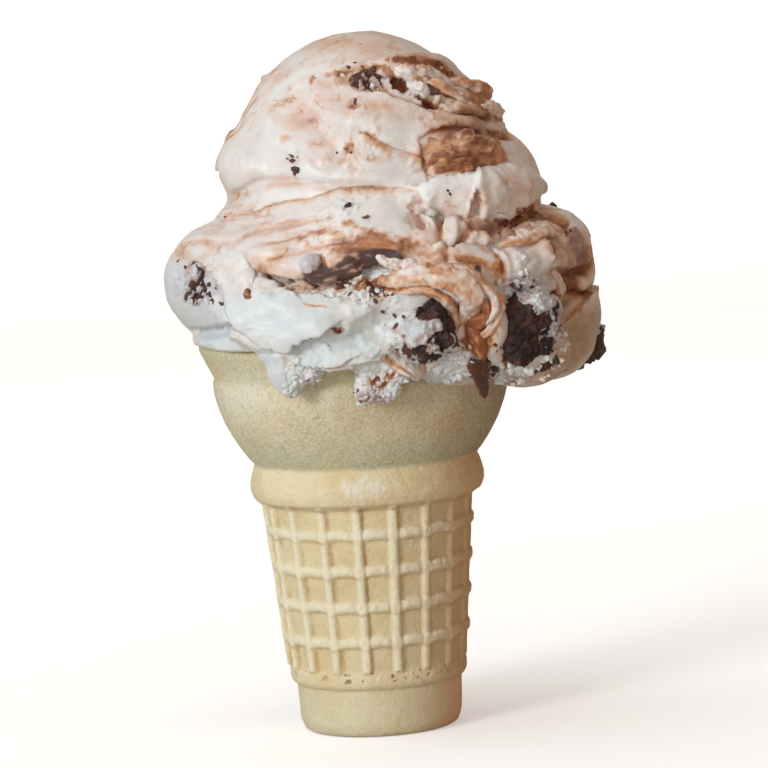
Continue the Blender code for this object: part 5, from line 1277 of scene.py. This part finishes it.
# Ribbons laid on the skin along (turn, height) places: half width, thickness and lift in mm. Ripple and
# caramel are how brown and how syrupy each is, and edges how much more syrup its two sides hold.
ribbons = {
    "curlTan": {
        "at": ((6, 91.4), (12, 92.6), (18, 92.8), (23, 92.4), (27, 91.0), (30, 88), (31, 84), (29.5, 80.4)),
        "half": 2.7, "thick": 1.6, "lift": 0.2, "ripple": 0.42, "caramel": 0.14, "edges": 0.35},
    "curlOuter": {
        "at": ((19, 95), (26, 94), (31, 92.2), (35, 89.4), (36.6, 86), (35.4, 82), (32, 78.6)),
        "half": 1.2, "thick": 1.0, "lift": 0.2, "ripple": 0.44, "caramel": 0.22, "edges": 0.4},
    "curlInner": {
        "at": ((10, 89.8), (16, 90), (21.5, 89.6), (25.2, 87.8), (27.4, 84.6), (27, 81.2), (25.4, 78.8)),
        "half": 1.2, "thick": 1.2, "lift": 0.2, "ripple": 0.52, "caramel": 0.48, "edges": 0.3},
    "curlThread": {
        "at": ((24, 92.4), (28, 91), (31.6, 88.4), (33.4, 85), (33.2, 82), (33.4, 79.4), (34.6, 77), (35.6, 75)),
        "half": (0.5, 0.6, 0.7, 1.0, 1.6, 1.9, 2.1, 1.8), "thick": 0.9, "lift": 0.5, "ripple": 0.8, "caramel": 0.95,
        "fudge": 0.10, "edges": 0.1, "uneven": 0.6},
    "curlWhite": {
        "at": ((27, 93.2), (31.4, 90.8), (34.4, 87.6), (34.8, 84.4), (33.4, 81.2)),
        "half": 0.8, "thick": 0.9, "lift": 0.6, "ripple": 0.20, "caramel": 0.0, "edges": 0.3},
    "hangCurl": {
        "at": ((8, 79.6), (12, 76.8), (16, 74.8), (21, 74.2), (25, 75.4)),
        "half": 1.8, "thick": 1.2, "lift": 0.1, "ripple": 0.24, "caramel": 0.05, "edges": 0.3, "uneven": 0.9},
    "hangThread": {
        "at": ((6, 78.4), (10, 75.6), (14, 73.8), (18, 73.2)),
        "half": 0.6, "thick": 0.7, "lift": 0.3, "ripple": 0.5, "caramel": 0.3, "fudge": 0.1, "edges": 0.1, "uneven": 0.9},
    "foldWhite": {
        "at": ((7, 96.6), (11, 95.6), (15, 94.2), (18.6, 92.8), (21, 92.0)),
        "half": 1.6, "thick": 1.1, "lift": 0.4, "ripple": 0.06, "caramel": -0.2, "edges": 0.2, "uneven": 1.1},
    "crownRoll": {
        "at": ((22, 131.8), (30, 131.2), (39, 130.8), (48, 129.6), (56, 127.8), (63, 125)),
        "half": 1.5, "thick": 1.1, "lift": 0.0, "ripple": 0.26, "caramel": 0.10, "edges": 0.4, "uneven": 1.2},
    "crownStrand": {
        "at": ((30, 129.4), (37, 129.2), (45, 127.8), (52, 126), (58, 124.2)),
        "half": 1.1, "thick": 1.0, "lift": 0.2, "ripple": 0.22, "caramel": 0.26, "edges": 0.4, "uneven": 1.3},
    "swirlNode": {
        "at": ((-16.6, 96.3), (-14.6, 96.2), (-12.4, 96.0), (-10.4, 95.8)),
        "half": 1.9, "thick": 1.2, "lift": 0.3, "ripple": 0.04, "caramel": -0.4, "fudge": 0.16, "grey": 1.1,
        "edges": 0.0, "uneven": 0.4},
    "crownChunk": {
        "at": ((33.4, 128.6), (35, 127.8), (37, 127.2), (38.6, 126.0)),
        "half": 1.3, "thick": 1.1, "lift": 0.4, "ripple": 0.10, "caramel": -0.1, "edges": 0.3, "uneven": 1.3},
    "crownBar": {
        "at": ((33, 129.6), (36, 129.8), (39.6, 129.4), (42, 128.2)),
        "half": 0.7, "thick": 0.7, "lift": 0.4, "ripple": 0.50, "caramel": 0.40, "edges": 0.2, "uneven": 1.2},
    "crownKnob": {
        "at": ((56, 128.6), (64, 127.6), (72, 126.6), (80, 125.6), (88, 124.6)),
        "half": 1.6, "thick": 1.6, "lift": 0.1, "ripple": 0.52, "caramel": 0.20, "edges": 0.2, "uneven": 1.6},
    "crownKnobLow": {
        "at": ((64, 123.2), (70, 122.4), (77, 121.6), (84, 120.8), (90, 120.2)),
        "half": 1.5, "thick": 1.7, "lift": 0.1, "ripple": 0.36, "caramel": 0.10, "edges": 0.2, "uneven": 1.5},
    "crownKnobFoot": {
        "at": ((66, 119.6), (72, 118.8), (79, 118.2), (86, 117.8)),
        "half": 1.0, "thick": 1.1, "lift": 0.0, "ripple": 0.30, "caramel": 0.05, "edges": 0.3, "uneven": 1.4},
    "foldRight": {
        "at": ((42, 97.2), (47, 97.8), (52, 98.6), (57, 99.2), (62, 99.0), (65, 97.6)),
        "half": (1.2, 2.6, 2.8, 2.2, 1.2), "thick": 1.2, "lift": -0.2, "ripple": 0.36, "caramel": 0.20, "edges": 0.15, "uneven": 0.8},
    "rearStrip": {
        "at": ((60, 91), (62.6, 88.6), (64.4, 86), (65.4, 83.2)),
        "half": 1.3, "thick": 0.9, "lift": -0.1, "ripple": 0.34, "caramel": 0.05, "edges": 0.3, "uneven": 0.9},
    "flapFinger": {
        "at": ((-38.6, 97.4), (-37, 95.8), (-35.4, 94), (-34.2, 92.2), (-33.2, 90.8)),
        "half": 1.5, "thick": 1.0, "lift": 0.3, "ripple": 0.02, "caramel": -0.2, "edges": 0.0, "uneven": 0.7},
    "flapDrop": {
        "at": ((-33.8, 91.6), (-33.2, 91.0), (-32.4, 90.4), (-31.6, 90.0)),
        "half": 0.7, "thick": 0.7, "lift": 0.2, "ripple": 0.9, "caramel": 0.9, "fudge": 0.5, "edges": 0.0,
        "uneven": 0.5},
}


# A section swept along a route: an oval of the half widths and thicknesses, uneven by slow waves.
def sweep(route, facing, halves, thicks, columns, uneven, seed):
    ahead = unit(np.gradient(route, axis=0))
    across = unit(np.cross(facing, ahead))
    upward = np.cross(ahead, across)
    angle = np.linspace(0, 2 * math.pi, columns, endpoint=False)[:, None]
    sideways = np.cos(angle) * across[:, None]
    lifted = np.sin(angle) * upward[:, None]
    points = route[:, None] + sideways * halves[:, None, None] + lifted * thicks[:, None, None]
    flat = points.reshape(-1, 3)
    strength = np.repeat(np.minimum(halves, 1.4), columns) * uneven
    push = strength * (0.45 * waves(flat, 3.0, seed) + 0.30 * rough(flat, 1.2, 2, seed + 1))
    flat = flat + (sideways + lifted).reshape(-1, 3) * push[:, None]
    return np.vstack([flat, route[0], route[-1]]), angle[:, 0]


def makeRibbon(name, ribbon, material, seed):
    index = nearestPlaces(creamPoints, ribbon["at"])
    route = smoothRoute(creamPoints[index], 14)
    facing = unit(smoothRoute(creamNormals[index], 14))
    columns = 32
    share = np.linspace(0, 1, len(route))
    taper = np.clip(np.sin(math.pi * share), 0, 1) ** 0.45 + 0.03
    route = route + facing * (ribbon["lift"] - 0.8 * (1 - taper) * ribbon["thick"])[:, None]
    halves = np.interp(share, np.linspace(0, 1, np.size(ribbon["half"])), np.atleast_1d(ribbon["half"]))
    points, angle = sweep(route, facing, halves * taper, ribbon["thick"] * taper, columns,
                          ribbon.get("uneven", 1.0), seed)
    length = np.sum(np.linalg.norm(np.diff(route, axis=0), axis=1))
    along, bend = (grid.ravel() for grid in np.meshgrid(share * length / 5, angle, indexing="ij"))
    lines = rough(np.column_stack([along, 1.6 * np.cos(bend), 1.6 * np.sin(bend)]), 1.0, 3, seed)
    edges = np.abs(np.cos(bend)) ** 6
    attributes = {"ripple": ribbon["ripple"] + 0.35 * lines,
                  "caramel": ribbon["caramel"] + ribbon["edges"] * edges + 0.4 * lines,
                  "fudge": ribbon.get("fudge", -0.2) + 0.2 * lines, "grey": ribbon.get("grey", 0) + 0 * lines}
    attributes = {key: np.append(np.clip(values, 0, 1.2), (values[0], values[-1]))
                  for key, values in attributes.items()}
    return makePiece(name, points, gridFaces(len(route), columns), material, None, attributes)


for number, (ribbonName, ribbon) in enumerate(ribbons.items()):
    makeRibbon(ribbonName, ribbon, cream, 1200 + number * 7)

# Crumbs in clusters: (turn, height) of the middle, how far they spread, how many, their sizes in mm.
crumbClusters = {
    "brownie": (
        ((-61, 104.5), 0.6, 2, (0.3, 0.6)), ((-24, 115.8), 0.9, 5, (0.3, 0.6)), ((-22, 113.0), 0.4, 2, (0.6, 0.9)),
        ((3, 125.5), 0.9, 3, (0.3, 0.5)), ((0, 117.2), 1.0, 3, (0.3, 0.5)), ((-18, 131), 0.6, 2, (0.2, 0.4)),
        ((0, 106), 0.3, 1, (0.9, 1.0)), ((5, 104), 0.3, 1, (0.6, 0.7)), ((-5, 83.2), 0.7, 2, (0.4, 0.6)),
        ((-50, 90), 1.2, 4, (0.3, 0.7)), ((-47, 91), 1.6, 5, (0.3, 0.7)), ((-62, 96), 1.6, 4, (0.3, 0.6)),
        ((-44, 88.6), 0.8, 3, (0.3, 0.6)), ((4, 90), 2.2, 7, (0.4, 0.8)), ((-3, 91.4), 1.4, 5, (0.3, 0.8)),
        ((10, 88), 1.8, 5, (0.3, 0.8)), ((6, 71.4), 1.8, 4, (0.3, 0.7)), ((0, 70), 1.6, 5, (0.3, 0.8)),
        ((12, 84), 1.4, 5, (0.4, 0.9)), ((20, 82), 3.2, 10, (0.3, 0.8)), ((36, 78), 4.2, 8, (0.3, 0.8)),
        ((50, 81), 3.0, 8, (0.5, 1.1)), ((40, 72.4), 2.0, 8, (0.4, 0.9)), ((48, 89), 2.6, 8, (0.4, 0.9)),
        ((6, 131), 2.2, 6, (0.3, 0.5)), ((15, 129.4), 1.6, 3, (0.3, 0.5)), ((32, 129), 1.2, 2, (0.3, 0.5)),
        ((42, 125), 1.4, 3, (0.3, 0.5)), ((33, 108), 0.8, 2, (0.4, 0.7)), ((46, 101), 1.6, 4, (0.3, 0.6)),
        ((66, 98), 2.0, 4, (0.3, 0.6)), ((54, 102), 1.6, 6, (0.3, 0.6)), ((-16, 74), 1.0, 2, (0.3, 0.5)),
        ((150, 90), 6, 18, (0.4, 1.0)), ((190, 98), 6, 16, (0.4, 1.0)), ((230, 86), 6, 16, (0.4, 1.0)),
        ((165, 114), 6, 12, (0.4, 0.9)), ((215, 120), 6, 12, (0.4, 0.9)), ((110, 104), 5, 10, (0.4, 0.9))),
    "cream": (
        ((-11, 75.6), 1.8, 9, (0.25, 0.6)), ((-11, 73.6), 1.4, 7, (0.25, 0.5)), ((11, 84), 3.2, 6, (0.25, 0.5)),
        ((9, 79), 3.0, 6, (0.3, 0.5)), ((1, 76), 2.6, 5, (0.3, 0.6)), ((0, 72.6), 2.0, 4, (0.25, 0.5)),
        ((6, 73), 2.0, 4, (0.25, 0.5)), ((17, 75), 2.6, 8, (0.3, 0.6)), ((28, 76.4), 1.8, 26, (0.3, 0.8)),
        ((29, 78.6), 1.2, 14, (0.3, 0.8)), ((47, 91), 3.0, 10, (0.3, 0.7)), ((52, 88), 2.8, 24, (0.4, 0.9)),
        ((45, 88), 2.2, 14, (0.3, 0.8)), ((57, 84), 2.4, 22, (0.3, 0.9)), ((57, 78), 2.4, 18, (0.3, 0.9)),
        ((44, 72.4), 2.6, 34, (0.3, 0.9)), ((52, 74), 2.6, 18, (0.3, 0.8)), ((59, 80), 2.0, 14, (0.3, 0.8)), ((26, 80.6), 1.6, 14, (0.3, 0.7)),
        ((24, 77.6), 1.6, 12, (0.3, 0.7)),
        ((36, 126), 1.8, 8, (0.25, 0.6))),
}


# One crumb is a ball of 35 places, pushed in and out by slow waves, pressed flatter and turned.
def crumbBalls(spots, sizes, seed):
    random = np.random.default_rng(seed)
    rows, columns = 5, 7
    turnGrid, liftGrid = np.meshgrid(np.linspace(-math.pi, math.pi, columns, endpoint=False),
                                     np.radians((-62, -30, 0, 30, 62)))
    ball = np.vstack([directions(turnGrid.ravel(), liftGrid.ravel()), (0, 0, -1), (0, 0, 1)])
    count, each = len(spots), len(ball)
    flat = np.repeat(random.uniform(-40, 40, (count, 3)), each, axis=0)
    lumpy = (1 + 0.9 * waves(np.tile(ball, (count, 1)) * 0.8 + flat, 0.9, seed)).reshape(count, each, 1)
    pressed = ball * random.uniform(0.35, 1.4, (count, 1, 3)) * lumpy * sizes[:, None, None]
    first = unit(random.normal(size=(count, 3)))
    second = unit(np.cross(first, random.normal(size=(count, 3))))
    turned = np.stack([first, second, np.cross(first, second)], 1)
    points = pressed @ turned + spots[:, None]
    faces = []
    base = gridFaces(rows, columns)
    for index in range(count):
        faces += [tuple(corner + index * each for corner in face) for face in base]
    return points.reshape(-1, 3), faces, each


def makeCrumbs(name, kind, material, tornCount, seed):
    random = np.random.default_rng(seed)
    chosen, sizes = [], []
    for place, spread, count, (least, most) in crumbClusters[kind]:
        middle = creamPoints[nearestPlaces(creamPoints, [place])[0]]
        away = np.linalg.norm(creamPoints - middle, axis=1)
        near = (away < 2.2 * spread).nonzero()[0]
        chance = bell(away[near], spread)
        chosen.append(random.choice(near, count, p=chance / chance.sum()))
        sizes.append(random.uniform(least, most, count) ** 1.3)
    if tornCount:
        chance = np.clip(creamPaint["torn"] - 0.4, 0, 1)
        chosen.append(random.choice(len(creamPoints), tornCount, p=chance / chance.sum()))
        sizes.append(random.uniform(0.2, 0.65, tornCount))
    chosen, sizes = np.concatenate(chosen), np.concatenate(sizes)
    spots = creamPoints[chosen] + creamNormals[chosen] * (sizes * 0.05)[:, None]
    points, faces, each = crumbBalls(spots, sizes, seed + 1)
    tone = np.repeat(random.uniform(0, 1, len(spots)), each)
    if kind == "cream":
        # Cream crumbs: the whiter ones get a blue-white tint of painted cool light.
        attributes = {"ripple": 0.14 * tone ** 2, "bright": 1 - 0.5 * tone, "paintedCoolLight": 0.5 * (1 - tone), "torn": 0.3 + 0 * tone}
    else:
        small = np.repeat(ease(sizes, 0.8, 0.35), each)
        attributes = {"smear": 0.25 * tone ** 4, "crumb": 1.1 * tone - 0.2 + 1.2 * small, "pink": 0.5 + 0 * tone}
    piece = makePiece(name, points, faces, material, None, attributes)
    piece.data.shade_flat()
    return piece


makeCrumbs("brownieCrumbs", "brownie", brownieMaterial, 0, 51)
makeCrumbs("creamCrumbs", "cream", cream, 260, 61)

# Caramel: a drip that runs down between the two front brownies, thick at its root, with a drop at its end.
caramelDrip = {
    "at": ((24.8, -30.6, 84.0), (24.2, -31.6, 81.0), (23.4, -32.3, 78.0), (22.9, -32.5, 75.2), (23.2, -32.2, 72.4),
           (23.5, -31.6, 70.0), (23.7, -31.2, 67.8)),
    "radii": (1.2, 1.8, 2.3, 2.7, 1.7, 1.1, 0.7), "columns": 36,
}


def makeCaramel():
    material, tree, shader = newMaterial("caramel", {"Roughness": 0.14, "Subsurface Weight": 0.25,
                                                     "Subsurface Scale": 0.0015, "Coat Weight": 0.6})
    grain = useGrain(tree, 2.4, 1.0, 0.0)
    colour = mixColour(tree, rise(tree, grain["Value"], 0.35, 0.7), (0.050, 0.013, 0.004), (0.13, 0.036, 0.010))
    tree.links.new(colour, shader.inputs["Base Color"])
    useBump(tree, shader, grain["Height"], 0.0005, 0.5)
    route = smoothRoute(caramelDrip["at"], 14)
    share = np.linspace(0, 1, len(route))
    radii = smoothRoute(np.array(caramelDrip["radii"])[:, None], 14)[:, 0]
    radii = radii * np.sqrt(np.clip(1 - np.clip((share - 0.92) / 0.08, 0, 1) ** 2, 0.003, 1))
    facing = np.tile(unit(np.array((0.35, -0.93, 0.0))), (len(route), 1))
    columns = caramelDrip["columns"]
    points, angle = sweep(route, facing, radii, radii * 0.55 + 0.25, columns, 0.5, 77)
    return makePiece("caramelDrip", points, gridFaces(len(route), columns), material, None)


makeCaramel()




# Stage: a pale floor that curves up behind, soft lights, and a long lens at table height.
studio = {
    "distance": 0.8, "height": 0.150, "aim": 0.0686, "aside": 0.0045, "roll": 3.5, "lens": 188.5,
    "floorFront": -1.6, "floorBack": 0.9, "curve": 0.5, "wide": 2.5, "wallTop": 1.8,
    "paperGlow": 0.36, "leftAir": (0.48, 0.52, 0.55), "rightAir": (0.23, 0.135, 0.08),
}


def makeStage():
    # The floor's outline goes back level, turns up on a quarter circle, and ends as a wall.
    bend = np.linspace(0, math.pi / 2, 16)
    back = studio["floorBack"] + studio["curve"] * np.sin(bend)
    up = studio["curve"] * (1 - np.cos(bend))
    outline = np.column_stack([np.append(np.append(studio["floorFront"], back), back[-1]),
                               np.append(np.append(0, up), studio["wallTop"])])
    left = np.column_stack([np.full(len(outline), -studio["wide"]), outline])
    right = left * (-1, 1, 1)
    count = len(outline)
    faces = [(i, i + count, i + count + 1, i + 1) for i in range(count - 1)]
    mesh = bpy.data.meshes.new("floor")
    mesh.from_pydata(np.vstack([left, right]).tolist(), [], faces)
    mesh.shade_smooth()
    # The paper looks almost white, and throws back little light of its own on the cup's far side.
    material, tree, shader = newMaterial("floorPaper", {"Roughness": 0.9, "Emission Color": (1, 1, 1, 1)})
    seen = addNode(tree, "ShaderNodeLightPath").outputs["Is Camera Ray"]
    tree.links.new(mixColour(tree, seen, (0.56, 0.50, 0.44), (0.93, 0.93, 0.93)), shader.inputs["Base Color"])
    tree.links.new(calculate(tree, "MULTIPLY", seen, studio["paperGlow"]), shader.inputs["Emission Strength"])
    mesh.materials.append(material)
    floor = bpy.data.objects.new("floor", mesh)
    bpy.context.scene.collection.objects.link(floor)


def makeLight(name, place, size, power, colour):
    light = bpy.data.lights.new(name, "AREA")
    light.size = size
    light.energy = power
    light.color = colour
    lamp = bpy.data.objects.new(name, light)
    lamp.location = place
    lamp.rotation_euler = (Vector((0, 0, 0.08)) - lamp.location).to_track_quat("-Z", "Y").to_euler()
    bpy.context.scene.collection.objects.link(lamp)
    return lamp


def makeCamera():
    camera = bpy.data.cameras.new("camera")
    camera.lens = studio["lens"]
    camera.sensor_width = 36
    camera.clip_end = 20
    place = Vector((studio["aside"], -studio["distance"], studio["height"]))
    look = (Vector((studio["aside"], 0, studio["aim"])) - place).normalized()
    turn = Matrix.Rotation(math.radians(studio["roll"]), 3, look) @ look.to_track_quat("-Z", "Y").to_matrix()
    holder = bpy.data.objects.new("camera", camera)
    holder.matrix_world = Matrix.Translation(place) @ turn.to_4x4()
    bpy.context.scene.collection.objects.link(holder)
    bpy.context.scene.camera = holder


makeStage()
makeLight("keyLight", (-0.78, -0.85, 0.40), 0.34, 7.2, (0.97, 0.99, 1.0))
makeLight("fillLight", (0.9, -0.6, 0.30), 0.7, 0.9, (1.0, 0.66, 0.40))
makeLight("frontLight", (-0.1, -1.15, 0.10), 0.5, 2.0, (0.96, 0.99, 1.0))
makeLight("topLight", (-0.1, -0.1, 0.95), 0.5, 1.0, (1.0, 0.97, 0.93))
wallLight = makeLight("wallLight", (0, 0.3, 1.3), 1.2, 9.0, (1.0, 1.0, 1.0))
wallLight.rotation_euler = (math.radians(72), 0, 0)
# The room's own light: cool and brighter on the left, warm and dim on the right.
world = bpy.data.worlds.new("room")
world.use_nodes = True
where = addNode(world.node_tree, "ShaderNodeTexCoord").outputs["Generated"]
sideways = addNode(world.node_tree, "ShaderNodeSeparateXYZ", {0: where}).outputs["X"]
air = mixColour(world.node_tree, rise(world.node_tree, sideways, -0.75, 0.75), studio["leftAir"], studio["rightAir"])
world.node_tree.links.new(air, world.node_tree.nodes["Background"].inputs["Color"])
bpy.context.scene.world = world
bpy.context.scene.view_settings.view_transform = "Standard"
makeCamera()
